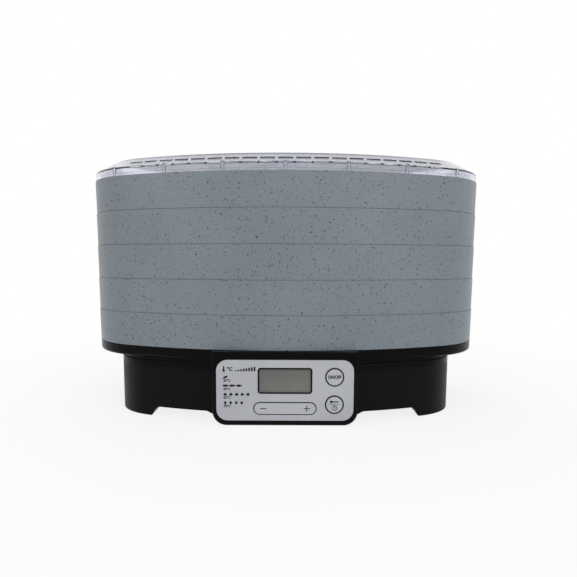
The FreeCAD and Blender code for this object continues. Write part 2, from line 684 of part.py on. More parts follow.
SLOT_COLUMNS = "ceil(tray_width / (slot_length + grid_cross_bar))"
SLOT_ROWS = "floor(tray_depth / (slot_width + grid_bar))"
SLOT_SPAN_X = f"(({SLOT_COLUMNS} - 1) * (slot_length + grid_cross_bar))"
SLOT_SPAN_Y = f"(({SLOT_ROWS} - 1) * (slot_width + grid_bar))"
slots = new_body("tray_slots", several=True)
sketch = sketch_on(slots, "XY_Plane", "-cut_margin")
add_rectangle(sketch, f"-{SLOT_SPAN_X} / 2", f"-{SLOT_SPAN_Y} / 2", "slot_length", "slot_width")
slot = pad(slots, sketch, SLOT_DEPTH)
pattern(
    slots, "LinearPattern", slot,
    Direction=(sketch, ["H_Axis"]), Length=SLOT_SPAN_X, Occurrences=SLOT_COLUMNS,
    Direction2=(sketch, ["V_Axis"]), Length2=SLOT_SPAN_Y, Occurrences2=SLOT_ROWS,
)

openings = doc.addObject("Part::Common", "tray_grid_openings")
openings.Base = slot_field
openings.Tool = slots

grid = keep(doc.addObject("Part::Cut", "tray_1_grid"))
grid.Base = plate
grid.Tool = openings
for piece in (frame, grid):
    bind(piece, "Placement.Base.z", "base_height")
for number in range(1, TRAY_COUNT):
    for piece, label in ((frame, f"tray_{number + 1}"), (grid, f"tray_{number + 1}_grid")):
        copy = keep(doc.addObject("Part::Compound", label))
        copy.Links = [piece]
        bind(copy, "Placement.Base.z", f"{number} * tray_pitch")
doc.recompute()

# Lid
# A shallow clear shell with a skirt that nests in the top tray. Its wall leans in as a shoulder below the
# flat top. Upright ribs stand inside its front and back walls, and a row of vents follows each of those
# walls through the shoulder.
LID_RISE = "(lid_height - lid_wall_height)"
LID_LEAN = f"(-atan(lid_shoulder / {LID_RISE}))"
SHOULDER_SLANT = f"(sqrt(lid_shoulder^2 + {LID_RISE}^2) / lid_shoulder)"
SHOULDER_INSIDE = f"(lid_wall_height + lid_wall * {LID_RISE} / lid_shoulder - lid_top * {SHOULDER_SLANT})"
lid = keep(new_body("lid"))
sketch = sketch_on(lid, "XY_Plane")
add_outline(sketch, "tray", "lid_inset")
pad(lid, sketch, "lid_wall_height")
sketch = sketch_on(lid, "XY_Plane", "lid_wall_height")
add_outline(sketch, "tray", "lid_inset")
pad(lid, sketch, LID_RISE, taper=LID_LEAN)
ease(lid, "Fillet", "lid_edge", rim_edges(lid, UP, "lid_height"))
ease(lid, "Fillet", "lid_shoulder_edge", level_edges("lid_wall_height"))
sketch = sketch_on(lid, "XY_Plane")
add_outline(sketch, "tray", LID_INSIDE)
pocket(lid, sketch, SHOULDER_INSIDE, back=True)
sketch = sketch_on(lid, "XY_Plane", SHOULDER_INSIDE)
add_outline(sketch, "tray", LID_INSIDE)
pocket(lid, sketch, f"lid_height - lid_top - {SHOULDER_INSIDE}", back=True, taper=LID_LEAN)
ring_pad(lid, "tray", "(lid_inset + lid_wall / 2)", SKIRT_INSIDE, "0", "lid_ledge")
ring_pad(lid, "tray", SKIRT_OUTSIDE, SKIRT_INSIDE, "0", "skirt_depth", back=True)

RIB_COUNT, VENT_COUNT = 7, 19
for bow_centre, facing in ((FRONT_BOW_CENTRE, "0"), (f"-{FRONT_BOW_CENTRE}", "180")):
    turn = f"({facing} - {(RIB_COUNT - 1) / 2} * lid_rib_angle) * 1 deg"
    sketch = sketch_on(lid, "XY_Plane", "0", bow_centre, turn)
    near = f"-(tray_front_radius - {LID_INSIDE} + lid_rib_root)"
    far = f"-(tray_front_radius - {LID_INSIDE} - lid_rib_depth)"
    add_rectangle(sketch, "0", f"({near} + {far}) / 2", "lid_rib_width", f"({far} - {near})")
    rib = pad(lid, sketch, "lid_wall_height + lid_rib_bite")
    pattern(lid, "PolarPattern", rib, Axis=(sketch, ["N_Axis"]), Occurrences=RIB_COUNT,
            Angle=f"{RIB_COUNT - 1} * lid_rib_angle * 1 deg")

    turn = f"({facing} - {(VENT_COUNT - 1) / 2} * vent_angle) * 1 deg"
    sketch = sketch_on(lid, "XY_Plane", "lid_height", bow_centre, turn)
    add_rectangle(sketch, "0", "-(tray_front_radius - vent_inset)", "vent_length", "vent_width")
    vent = pocket(lid, sketch, LID_RISE)
    pattern(lid, "PolarPattern", vent, Axis=(sketch, ["N_Axis"]), Occurrences=VENT_COUNT,
            Angle=f"{VENT_COUNT - 1} * vent_angle * 1 deg")
bind(lid, "Placement.Base.z", TRAYS_TOP)

# Base housing
# A band that carries the trays, a narrower body hung under it, four corner feet and the control pod.
BOSS_X = "(body_width / 2 - body_wall - boss_inboard)"
BOSS_Y = (
    "(sqrt((body_front_radius - body_wall)^2 - cover_boss_x^2)"
    " - body_front_radius + body_depth / 2 - boss_inboard)"
)
COVER_SCREWS = both_ways("cover_boss_x", BOSS_Y) + [(BOSS_X, "0"), (f"-{BOSS_X}", "0")]
DECK_SCREWS = both_ways(BOSS_X, "deck_screw_y")

housing = keep(new_body("base_housing"))
sketch = sketch_on(housing, "XY_Plane", SHELF_UNDER)
add_outline(sketch, "tray", "flange_inset")
pad(housing, sketch, "flange_height")
ease(housing, "Fillet", "flange_edge", rim_edges(housing, DOWN, f"-{SHELF_UNDER}"))
sketch = sketch_on(housing, "XY_Plane", SHELF_UNDER)
add_outline(sketch, "body", "0")
pad(housing, sketch, f"{SHELF_UNDER} - pad_proud", back=True)
sketch = sketch_on(housing, "XY_Plane", SHELF_UNDER)
add_outline(sketch, "body", "body_wall")
pocket(housing, sketch, f"{SHELF_UNDER} - {COVER_UNDER}")
sketch = sketch_on(housing, "XY_Plane", SHELF_UNDER)
add_outline(sketch, "body", "(-cut_margin)")
add_outline(sketch, "body", "neck_depth")
pocket(housing, sketch, "neck_height")
ease(housing, "Fillet", "shoulder_edge", rim_edges(housing, UP, f"{SHELF_UNDER} - neck_height"))

# The gaps between the feet run right across the body, both ways.
for role, gap in (("XZ_Plane", "foot_gap_x"), ("YZ_Plane", "foot_gap_y")):
    sketch = sketch_on(housing, role)
    add_bay(
        sketch, f"({gap} / 2 + foot_slope)", f"{gap} / 2", "pad_proud", COVER_UNDER, "foot_toe", "foot_crook",
    )
    pocket(housing, sketch)
PADS = both_ways("pad_place_x", "pad_place_y")
holes(housing, "XY_Plane", PADS, "pad_radius + nest_gap", "pad_thickness", "pad_thickness")

discs(housing, "XY_Plane", COVER_SCREWS, "boss_radius", COVER_TOP, f"{SHELF_UNDER} - {COVER_TOP}")
discs(housing, "XY_Plane", DECK_SCREWS, "boss_radius", SHELF_UNDER, "screw_length", back=True)
holes(housing, "XY_Plane", COVER_SCREWS, "screw_radius + screw_gap", COVER_TOP, "screw_length", back=True)
holes(housing, "XY_Plane", DECK_SCREWS, "screw_radius + screw_gap", SHELF_TOP, "screw_length")

# The pod is a flat-fronted block with round lower corners. Its sides run out into the body's lower edge.
POD_REAR = f"({POD_FRONT} - pod_back)"
POD_CEILING = f"({SHELF_UNDER} - shelf_thickness / 2)"
POD_FLOOR = "(pad_proud + pod_wall)"
FLARE_LEAN = "atan((foot_height - flare_low) / (2 * pod_flare))"
FLARE_X = f"(pod_width / 2 + pod_flare + flare_round * tan({FLARE_LEAN} / 2))"
FLARE_Z = f"({COVER_UNDER} - flare_round)"
FLARE_FRONT = f"(sqrt(body_front_radius^2 - {FLARE_X}^2) - body_front_radius + body_depth / 2)"
sketch = sketch_on(housing, "XZ_Plane", POD_FRONT)
add_tub(sketch, "pod_width", "pad_proud", "base_height", "pod_corner")
pad(housing, sketch, "pod_back", back=True)
ease(housing, "Fillet", "pod_edge", rim_edges(housing, FORWARD, POD_FRONT))
sketch = sketch_on(housing, "XZ_Plane", FLARE_FRONT)
lean, quarter = math.radians(value(FLARE_LEAN)), math.pi / 2
for side, start, end, edge_end in (("", quarter, quarter + lean, 1), ("-", quarter - lean, quarter, 2)):
    slope_end = 3 - edge_end
    arc = add_arc(sketch, value(f"{side}{FLARE_X}"), value(FLARE_Z), value("flare_round"), start, end)
    hold(sketch, "Radius", (arc,), "flare_round")
    hold_point(sketch, arc, 3, f"{side}{FLARE_X}", FLARE_Z)
    inner_x = f"{side}(pod_width / 2 - pod_flare)"
    inner_high = Vector(value(inner_x), value(COVER_UNDER), 0)
    inner_low = Vector(value(inner_x), value("pad_proud + flare_low"), 0)
    edge = sketch.addGeometry(Part.LineSegment(sketch.getPoint(arc, edge_end), inner_high), False)
    inner = sketch.addGeometry(Part.LineSegment(inner_high, inner_low), False)
    slope = sketch.addGeometry(Part.LineSegment(inner_low, sketch.getPoint(arc, slope_end)), False)
    sketch.addConstraint(Sketcher.Constraint("Tangent", edge, 1, arc, edge_end))
    sketch.addConstraint(Sketcher.Constraint("Coincident", edge, 2, inner, 1))
    sketch.addConstraint(Sketcher.Constraint("Coincident", inner, 2, slope, 1))
    sketch.addConstraint(Sketcher.Constraint("Tangent", slope, 2, arc, slope_end))
    hold_point(sketch, inner, 1, inner_x, COVER_UNDER)
    hold_point(sketch, inner, 2, inner_x, "pad_proud + flare_low")
pad(housing, sketch, "body_wall", back=True)

# The band is hollow down to the shelf, also behind the pod.
sketch = sketch_on(housing, "XY_Plane", "base_height")
add_outline(sketch, "tray", FLANGE_INSIDE)
pocket(housing, sketch, "flange_height - shelf_thickness")
sketch = sketch_on(housing, "XY_Plane", SHELF_TOP)
add_outline(sketch, "body", "(body_wall + ledge_width)")
pocket(housing, sketch, "shelf_thickness")

# The pod is hollow. It is open to the inside above the bottom cover, and its front has a seat for the plate.
sketch = sketch_on(housing, "XZ_Plane", POD_INSIDE)
add_rounded_rectangle(
    sketch, "0", f"({POD_FLOOR} + {POD_CEILING}) / 2", "(pod_width - 2 * pod_wall)",
    f"({POD_CEILING} - {POD_FLOOR})", "(pod_corner - pod_wall)",
)
pocket(housing, sketch, f"{POD_INSIDE} - {POD_REAR} - pod_wall")
sketch = sketch_on(housing, "XZ_Plane", f"{POD_REAR} + pod_wall + cut_margin")
add_rectangle(
    sketch, "0", f"({COVER_UNDER} + {POD_CEILING}) / 2",
    "(pod_width - 2 * pod_corner)", f"({POD_CEILING} - {COVER_UNDER})",
)
pocket(housing, sketch, "pod_wall + 2 * cut_margin")
FASCIA_MIDDLE = "(fascia_low + fascia_height / 2)"
sketch = sketch_on(housing, "XZ_Plane", POD_FRONT)
add_rounded_rectangle(
    sketch, "0", FASCIA_MIDDLE, "(fascia_width + 2 * key_gap)", "(fascia_height + 2 * key_gap)",
    "fascia_corner",
)
pocket(housing, sketch, "fascia_recess")
sketch = sketch_on(housing, "XZ_Plane", FASCIA_BACK)
add_rectangle(
    sketch, "0", FASCIA_MIDDLE, "(fascia_width - 2 * fascia_border)", "(fascia_height - 2 * fascia_border_z)",
)
pocket(housing, sketch, "pod_wall")

BOARD_SCREW_X = "(pod_width / 2 - pod_wall - board_edge - small_boss - board_boss_room)"
BOARD_SCREW_LOW = f"({POD_FLOOR} + board_edge + small_boss + board_boss_room)"
BOARD_SCREW_HIGH = f"({POD_CEILING} - board_edge - small_boss - board_boss_room)"
BOARD_SCREWS = [(f"{s}{BOARD_SCREW_X}", z) for s in ("", "-") for z in (BOARD_SCREW_LOW, BOARD_SCREW_HIGH)]
discs(housing, "XZ_Plane", BOARD_SCREWS, "small_boss", BOARD_FRONT, f"{POD_INSIDE} - {BOARD_FRONT}")
holes(housing, "XZ_Plane", BOARD_SCREWS, "small_screw + screw_gap", BOARD_FRONT,
      "small_bite + cut_margin", back=True)
BACK_WALL = "(body_depth / 2 - body_wall)"
GLAND = [("0", "gland_place_z")]
holes(housing, "XZ_Plane", GLAND, "gland_radius", f"-({BACK_WALL} - cut_margin)",
      "body_wall + 2 * cut_margin")

# Bottom of the base
# A slotted cover between the feet, its screws, and a rubber pad under each foot.
INTAKE_ROWS_EACH_WAY = 4
cover = keep(new_body("bottom_cover"))
sketch = sketch_on(cover, "XY_Plane", COVER_UNDER)
add_outline(sketch, "body", "(body_wall + nest_gap)")
pad(cover, sketch, "cover_thickness")
sketch = sketch_on(cover, "XY_Plane", COVER_TOP)
notch = f"({POD_REAR} - nest_gap)"
add_rectangle(sketch, "0", f"-({notch} + pod_back / 2)", "(pod_width + 2 * nest_gap)", "pod_back")
for row in range(-INTAKE_ROWS_EACH_WAY, INTAKE_ROWS_EACH_WAY + 1):
    length = f"(2 * sqrt(intake_radius^2 - ({row} * intake_pitch)^2))"
    add_pill(sketch, "0", f"{row} * intake_pitch", length, "intake_slot")
for x, y in COVER_SCREWS:
    add_circle(sketch, x, y, "screw_radius + screw_gap")
pocket(cover, sketch, "cover_thickness")
POWER_SCREWS = [
    (f"power_board_x {sx} (power_board_width / 2 - power_screw_inset)",
     f"power_board_y {sy} (power_board_depth / 2 - power_screw_inset)")
    for sx in "+-" for sy in "+-"
]
POWER_BOARD_UNDER = f"({COVER_TOP} + power_board_rise)"
POWER_BOARD_TOP = f"({POWER_BOARD_UNDER} + board_thickness)"
discs(cover, "XY_Plane", POWER_SCREWS, "small_boss", COVER_TOP, "power_board_rise")
holes(cover, "XY_Plane", POWER_SCREWS, "small_screw + screw_gap", POWER_BOARD_UNDER, "power_board_rise")
keep(screws("cover_screws", "XY_Plane", COVER_SCREWS, COVER_UNDER, "screw_length", "screw_radius",
            "screw_head", head_back=True))
pads = keep(new_body("foot_pads", several=True))
discs(pads, "XY_Plane", PADS, "pad_radius", "0", "pad_thickness")

# Deck
# It closes the base over the fan and heater, and a lip keeps drips out of the air outlet.
CENTRE = [("0", "0")]
SHIELD_SCREW = "(shield_radius + shield_flange / 2) * sqrt(0.5)"
SHIELD_SCREWS = both_ways(f"({SHIELD_SCREW})", f"({SHIELD_SCREW})")
deck = keep(new_body("base_deck"))
sketch = sketch_on(deck, "XY_Plane", SHELF_TOP)
add_outline(sketch, "tray", f"({FLANGE_INSIDE} + nest_gap)")
pad(deck, sketch, "deck_thickness")
discs(deck, "XY_Plane", CENTRE, "outlet_radius + outlet_lip_wall", DECK_TOP, "outlet_lip")
holes(deck, "XY_Plane", CENTRE, "outlet_radius", f"{DECK_TOP} + outlet_lip", "deck_thickness + outlet_lip")
holes(deck, "XY_Plane", DECK_SCREWS, "screw_radius + screw_gap", DECK_TOP, "deck_thickness")
holes(deck, "XY_Plane", [("sensor_place", "sensor_place")], "sensor_radius + screw_gap", DECK_TOP,
      "deck_thickness")
holes(deck, "XY_Plane", SHIELD_SCREWS, "small_screw + screw_gap", SHELF_TOP, "shield_bite + screw_gap",
      back=True)
keep(screws("deck_screws", "XY_Plane", DECK_SCREWS, DECK_TOP, "screw_length", "screw_radius",
            "screw_head", head_back=False))

GRILLE_RINGS = 7
grille = keep(new_body("outlet_grille"))
sketch = sketch_on(grille, "XY_Plane", SHELF_TOP)
add_rectangle(sketch, "0", "0", "(2 * outlet_radius - 2 * nest_gap - grille_bar)", "grille_bar")
pad(grille, sketch, "grille_height")
sketch = sketch_on(grille, "XY_Plane", SHELF_TOP)
add_rectangle(sketch, "0", "0", "grille_bar", "(2 * outlet_radius - 2 * nest_gap - grille_bar)")
pad(grille, sketch, "grille_height")
sketch = sketch_on(grille, "XY_Plane", SHELF_TOP)
for ring in range(GRILLE_RINGS):
    radius = f"(outlet_radius - nest_gap - {ring} * grille_pitch)"
    add_circle(sketch, "0", "0", radius)
    add_circle(sketch, "0", "0", f"{radius} - grille_bar")
pad(grille, sketch, "grille_height")

# Heater
# A sheet-metal duct hangs under the deck. Two wound rings lie in the notches of a mica cross, and the cross
# is held by slots in the duct.
shield = keep(new_body("heat_shield"))
FLANGE_RADIUS = "(shield_radius + shield_flange)"
discs(shield, "XY_Plane", CENTRE, "shield_radius + sheet", SHIELD_LOW, "shield_height")
discs(shield, "XY_Plane", CENTRE, FLANGE_RADIUS, SHIELD_LOW, "sheet")
discs(shield, "XY_Plane", CENTRE, FLANGE_RADIUS, SHELF_TOP, "sheet", back=True)
holes(shield, "XY_Plane", CENTRE, "shield_radius", SHELF_TOP, "shield_height")
ARM_LENGTH = "(2 * (shield_radius + sheet + mica_overhang))"
MICA_MIDDLE = f"({COIL_HEIGHT} - mica_height / 2)"
for role in ("XZ_Plane", "YZ_Plane"):
    sketch = sketch_on(shield, role)
    add_rectangle(sketch, "0", MICA_MIDDLE, "(mica_thickness + 2 * mica_gap)", "(mica_height + 2 * mica_gap)")
    pocket(shield, sketch)
BRACKET_REACH = "(shield_radius + shield_flange / 2)"
BRACKET_SCREWS = [
    ("0", BRACKET_REACH),
    (f"{BRACKET_REACH} * sqrt(0.75)", f"-{BRACKET_REACH} / 2"),
    (f"-{BRACKET_REACH} * sqrt(0.75)", f"-{BRACKET_REACH} / 2"),
]
holes(shield, "XY_Plane", BRACKET_SCREWS, "small_screw + screw_gap", f"{SHIELD_LOW} + sheet", "sheet")
holes(shield, "XY_Plane", SHIELD_SCREWS, "small_screw + screw_gap", SHELF_TOP, "sheet")
keep(screws("shield_screws", "XY_Plane", SHIELD_SCREWS, f"{SHELF_TOP} - sheet", "sheet + shield_bite",
            "small_screw", "small_head", head_back=True))

mica = keep(new_body("heater_mica"))
MICA_LOW = f"{COIL_HEIGHT} - mica_height"
block(mica, "XY_Plane", "0", "0", ARM_LENGTH, "mica_thickness", MICA_LOW, "mica_height")
block(mica, "XY_Plane", "0", "0", "mica_thickness", ARM_LENGTH, MICA_LOW, "mica_height")
for role in ("XZ_Plane", "YZ_Plane"):
    sketch = sketch_on(mica, role)
    for x in ("coil_inner", "-coil_inner", "coil_outer", "-coil_outer"):
        add_circle(sketch, x, COIL_HEIGHT, "coil_radius + coil_gap")
    pocket(mica, sketch)

coils = keep(doc.addObject("Part::Compound", "heater_coils"))
rings = []
for size in ("coil_inner", "coil_outer"):
    ring = doc.addObject("Part::Torus", f"{size}_ring")
    bind(ring, "Radius1", size)
    bind(ring, "Radius2", "coil_radius")
    bind(ring, "Placement.Base.z", COIL_HEIGHT)
    rings.append(ring)
coils.Links = rings

cutout = keep(doc.addObject("Part::Cylinder", "thermal_cutout"))
cutout.Placement.Rotation = FreeCAD.Rotation(UP, Vector(1, 1, 0))
bind(cutout, "Radius", "cutout_radius")
bind(cutout, "Height", "cutout_height")
for axis in "xy":
    bind(cutout, f"Placement.Base.{axis}", "(shield_radius + sheet + cutout_gap) * sqrt(0.5)")
bind(cutout, "Placement.Base.z", f"{SHELF_TOP} - shield_height / 2")

sensor = keep(new_body("thermistor"))
SENSOR = [("sensor_place", "sensor_place")]
discs(sensor, "XY_Plane", SENSOR, "sensor_collar", DECK_TOP, "sensor_collar_height")
discs(sensor, "XY_Plane", SENSOR, "sensor_radius", f"{DECK_TOP} + sensor_length / 2", "sensor_length",
      back=True)

# Fan and motor
# The motor hangs under a three-armed bracket that is screwed to the duct.
BRACKET_ARMS, FAN_BLADES = 3, 7
bracket = keep(new_body("motor_bracket"))
discs(bracket, "XY_Plane", CENTRE, "motor_radius + bracket_rim", BRACKET_UNDER, "sheet")
sketch = sketch_on(bracket, "XY_Plane", BRACKET_UNDER)
ARM_LENGTH = f"({FLANGE_RADIUS} - bracket_inset)"
add_rectangle(sketch, "0", f"{ARM_LENGTH} / 2", "bracket_arm", ARM_LENGTH)
arm = pad(bracket, sketch, "sheet")
pattern(bracket, "PolarPattern", arm, Axis=(sketch, ["N_Axis"]), Occurrences=BRACKET_ARMS, Angle="360 deg")
holes(bracket, "XY_Plane", CENTRE, "bracket_bore", SHIELD_LOW, "sheet")
holes(bracket, "XY_Plane", BRACKET_SCREWS, "small_screw + screw_gap", SHIELD_LOW, "sheet")
keep(screws("bracket_screws", "XY_Plane", BRACKET_SCREWS, BRACKET_UNDER, "2 * sheet + screw_tail",
            "small_screw", "small_head", head_back=True))

SHAFT_LOW = f"({BRACKET_UNDER} - shaft_seat)"
SHAFT_TOP = f"({FAN_LOW} + fan_height + shaft_proud)"
motor = keep(new_body("fan_motor"))
discs(motor, "XY_Plane", CENTRE, "motor_radius", BRACKET_UNDER, "motor_height", back=True)
holes(motor, "XY_Plane", CENTRE, "shaft_radius + shaft_gap", BRACKET_UNDER, "shaft_seat + cut_margin")
shaft = keep(new_body("fan_shaft"))
discs(shaft, "XY_Plane", CENTRE, "shaft_radius", SHAFT_LOW, f"{SHAFT_TOP} - {SHAFT_LOW}")

fan = keep(new_body("fan_impeller"))
discs(fan, "XY_Plane", CENTRE, "fan_hub_radius", FAN_LOW, "fan_height")
sketch = sketch_on(fan, "XZ_Plane", "fan_hub_radius - blade_root")
chord = "((fan_height - 2 * fan_blade) / (2 * sin(fan_pitch * 1 deg)))"
middle = f"({FAN_LOW} + fan_height / 2)"
lean_x, lean_z = "cos(fan_pitch * 1 deg)", "sin(fan_pitch * 1 deg)"
add_polygon(sketch, [
    (f"{a} * {chord} * {lean_x} - {b} * fan_blade / 2 * {lean_z}",
     f"{middle} + {a} * {chord} * {lean_z} + {b} * fan_blade / 2 * {lean_x}")
    for a, b in ((-1, -1), (1, -1), (1, 1), (-1, 1))
])
blade = pad(fan, sketch, "fan_radius - fan_hub_radius + blade_root")
fan_axis = next(f for f in fan.Origin.OriginFeatures if f.Role == "Z_Axis")
pattern(fan, "PolarPattern", blade, Axis=(fan_axis, [""]), Occurrences=FAN_BLADES, Angle="360 deg")
holes(fan, "XY_Plane", CENTRE, "shaft_radius + fan_fit", f"{FAN_LOW} + fan_height", "fan_height")

# Control panel
# A silver plate in the pod's seat, with a display, two round keys and a rocker in front of one board.
EAR_SIZE = "(rocker_height / 2 + pivot_ear_gap)"
fascia = keep(new_body("control_fascia"))
sketch = sketch_on(fascia, "XZ_Plane", FASCIA_BACK)
add_rounded_rectangle(sketch, "0", FASCIA_MIDDLE, "fascia_width", "fascia_height", "fascia_corner")
pad(fascia, sketch, "fascia_thickness")
sketch = sketch_on(fascia, "XZ_Plane", FASCIA_FRONT)
add_rounded_rectangle(sketch, "0", "display_place_z", "display_width", "display_height", "display_corner")
add_circle(sketch, "button_place_x", "power_key_z", "button_radius")
add_circle(sketch, "button_place_x", "mode_key_z", "button_radius")
add_pill(sketch, "0", "rocker_place_z", "rocker_length", "rocker_height")
pocket(fascia, sketch, "fascia_thickness")
sketch = sketch_on(fascia, "XZ_Plane", FASCIA_BACK)
for side in "+-":
    ear_place = f"(rocker_place_z {side} ({EAR_SIZE} + pivot_ear / 2))"
    add_rectangle(sketch, "0", ear_place, "pivot_ear_width", "pivot_ear")
pad(fascia, sketch, f"{FASCIA_BACK} - {PIVOT_FRONT} + pivot_radius + pivot_ear_tail", back=True)
sketch = sketch_on(fascia, "XY_Plane")
add_circle(sketch, "0", f"-{PIVOT_FRONT}", "pivot_radius + shaft_gap")
pocket(fascia, sketch)

lens = keep(new_body("display_window"))
sketch = sketch_on(lens, "XZ_Plane", f"{FASCIA_BACK} + lens_gap")
add_rounded_rectangle(
    sketch, "0", "display_place_z", "(display_width - 2 * key_gap)", "(display_height - 2 * key_gap)",
    "(display_corner - key_gap)",
)
pad(lens, sketch, "lens_thickness")
module = keep(new_body("display_module"))
block(module, "XZ_Plane", "0", "display_place_z", "(display_width + 2 * display_border)",
      "(display_height + 2 * display_border)", BOARD_FRONT, f"{FASCIA_BACK} - module_gap - {BOARD_FRONT}")

for label, height in (("on_off_button", "power_key_z"), ("mode_button", "mode_key_z")):
    button = keep(new_body(label))
    place = [("button_place_x", height)]
    discs(button, "XZ_Plane", place, "button_radius - key_gap", KEY_FRONT, "key_cap", back=True)
    discs(button, "XZ_Plane", place, "button_radius + key_flange", f"{FASCIA_BACK} - key_flange_gap",
          "key_flange_thickness", back=True)
    discs(button, "XZ_Plane", place, "key_stem", STEM_BACK, f"{FASCIA_BACK} - stem_root - {STEM_BACK}")

rocker = keep(new_body("adjust_rocker"))
sketch = sketch_on(rocker, "XZ_Plane", KEY_FRONT)
add_pill(sketch, "0", "rocker_place_z", "(rocker_length - 2 * key_gap)", "(rocker_height - 2 * key_gap)")
pad(rocker, sketch, "key_cap", back=True)
block(rocker, "XZ_Plane", "0", "rocker_place_z", "2 * (pivot_radius + pivot_wall)",
      "(rocker_height - 2 * key_gap)", f"{PIVOT_FRONT} - pivot_radius - pivot_wall",
      f"{KEY_FRONT} - {PIVOT_FRONT} + pivot_radius")
ROCKER_ENDS = [("rocker_reach", "rocker_place_z"), ("-rocker_reach", "rocker_place_z")]
discs(rocker, "XZ_Plane", ROCKER_ENDS, "key_stem", STEM_BACK, f"{FASCIA_BACK} - stem_root - {STEM_BACK}")
discs(rocker, "XY_Plane", [("0", f"-{PIVOT_FRONT}")], "pivot_radius",
      f"rocker_place_z - {EAR_SIZE} - pivot_ear", f"2 * ({EAR_SIZE} + pivot_ear)")

board = keep(new_body("control_board"))
sketch = sketch_on(board, "XZ_Plane", BOARD_FRONT)
add_rounded_rectangle(
    sketch, "0", f"({POD_FLOOR} + {POD_CEILING}) / 2", "(pod_width - 2 * pod_wall - 2 * board_edge)",
    f"({POD_CEILING} - {POD_FLOOR} - 2 * board_edge)", "(pod_corner - pod_wall - board_edge)",
)
pad(board, sketch, "board_thickness", back=True)
holes(board, "XZ_Plane", BOARD_SCREWS, "small_screw + screw_gap", BOARD_FRONT, "board_thickness")
keep(screws("board_screws", "XZ_Plane", BOARD_SCREWS, f"{BOARD_FRONT} - board_thickness",
            "board_thickness + small_bite", "small_screw", "small_head", head_back=True))

switches = keep(new_body("tact_switches", several=True))
SWITCHES = [("button_place_x", "power_key_z"), ("button_place_x", "mode_key_z")] + ROCKER_ENDS
sketch = sketch_on(switches, "XZ_Plane", BOARD_FRONT)
for x, z in SWITCHES:
    add_rectangle(sketch, x, z, "switch_size", "switch_size")
pad(switches, sketch, "switch_height")
discs(switches, "XZ_Plane", SWITCHES, "plunger_radius", SWITCH_FRONT, "switch_plunger")

# Power board
# It stands on the bottom cover's posts and takes the mains cord through a bushing in the back wall.
power_board = keep(new_body("power_board"))
block(power_board, "XY_Plane", "power_board_x", "power_board_y", "power_board_width", "power_board_depth",
      POWER_BOARD_UNDER, "board_thickness")
holes(power_board, "XY_Plane", POWER_SCREWS, "small_screw + screw_gap", POWER_BOARD_TOP, "board_thickness")
keep(screws("power_board_screws", "XY_Plane", POWER_SCREWS, POWER_BOARD_TOP, "board_thickness + small_bite",
            "small_screw", "small_head", head_back=False))

items = keep(new_body("power_components", several=True))
for name, *sizes in BLOCKS:
    block(items, "XY_Plane", f"(power_board_x + {name}_x)", f"(power_board_y + {name}_y)", f"{name}_width",
          f"{name}_depth", POWER_BOARD_TOP, f"{name}_height")
discs(items, "XY_Plane", [("power_board_x + capacitor_x", "power_board_y + capacitor_y")], "capacitor_radius",
      POWER_BOARD_TOP, "capacitor_height")

gland = keep(new_body("cord_gland"))
GLAND_INNER_END = f"({BACK_WALL} - gland_seat - gland_lip)"
GLAND_LENGTH = "(body_wall + 2 * (gland_seat + gland_lip))"
discs(gland, "XZ_Plane", GLAND, "gland_radius - gland_fit", f"-{GLAND_INNER_END}", GLAND_LENGTH, back=True)
discs(gland, "XZ_Plane", GLAND, "gland_radius + gland_flange", "-(body_depth / 2 + gland_seat)", "gland_lip",
      back=True)
discs(gland, "XZ_Plane", GLAND, "gland_radius + gland_inner_flange", f"-{GLAND_INNER_END}", "gland_lip",
      back=True)
holes(gland, "XZ_Plane", GLAND, "gland_bore", f"-{GLAND_INNER_END}", GLAND_LENGTH)


def lead(label, height, start, turns, end):
    """A round lead that runs level, first front to back and then square at each turn with a bend between."""
    body = keep(new_body(label))
    spine = sketch_on(body, "XY_Plane", height)
    stops = [start]
    for number, text in enumerate(turns + [end]):
        before = stops[-1]
        stops.append((before[0], text) if number % 2 == 0 else (text, before[1]))
    places = [Vector(value(x), value(y), 0) for x, y in stops]
    bend = value("lead_bend")
    path = []
    for number in range(len(places) - 1):
        here, there = places[number], places[number + 1]
        along = (there - here).normalize()
        begin = here + along * bend if number else here
        finish = there - along * bend if number < len(places) - 2 else there
        line = spine.addGeometry(Part.LineSegment(begin, finish), False)
        spine.addConstraint(Sketcher.Constraint("Horizontal" if number % 2 else "Vertical", line))
        path.append((line, 1, 2))
        if finish != there:
            onward = (places[number + 2] - there).normalize()
            centre = finish + onward * bend
            left = along.cross(onward).z > 0
            first, last = (finish - centre, there + onward * bend - centre)[:: 1 if left else -1]
            angles = [math.atan2(spoke.y, spoke.x) for spoke in (first, last)]
            arc = add_arc(spine, centre.x, centre.y, bend, angles[0], angles[1])
            hold(spine, "Radius", (arc,), "lead_bend")
            path.append((arc, 1, 2) if left else (arc, 2, 1))
    for (one, _, leaves), (other, meets, _) in zip(path, path[1:]):
        spine.addConstraint(Sketcher.Constraint("Tangent", one, leaves, other, meets))
    hold_point(spine, path[0][0], 1, *start)
    for number, text in enumerate(turns + [end]):
        kind = "DistanceX" if number % 2 else "DistanceY"
        tip = (path[2 * number][0], 2)
        if number < len(turns):
            tip = (path[2 * number + 2][0], 1)
        if value(text) < 0:
            hold(spine, kind, (*tip, -1, 1), f"-({text})")
        else:
            hold(spine, kind, (-1, 1, *tip), text)
    profile = sketch_on(body, "XZ_Plane", f"-({start[1]})")
    add_circle(profile, start[0], height, "lead_radius")
    feature = body.newObject("PartDesign::AdditivePipe", f"{label}_run")
    feature.Profile = profile
    feature.Spine = spine
    doc.recompute()
    return body


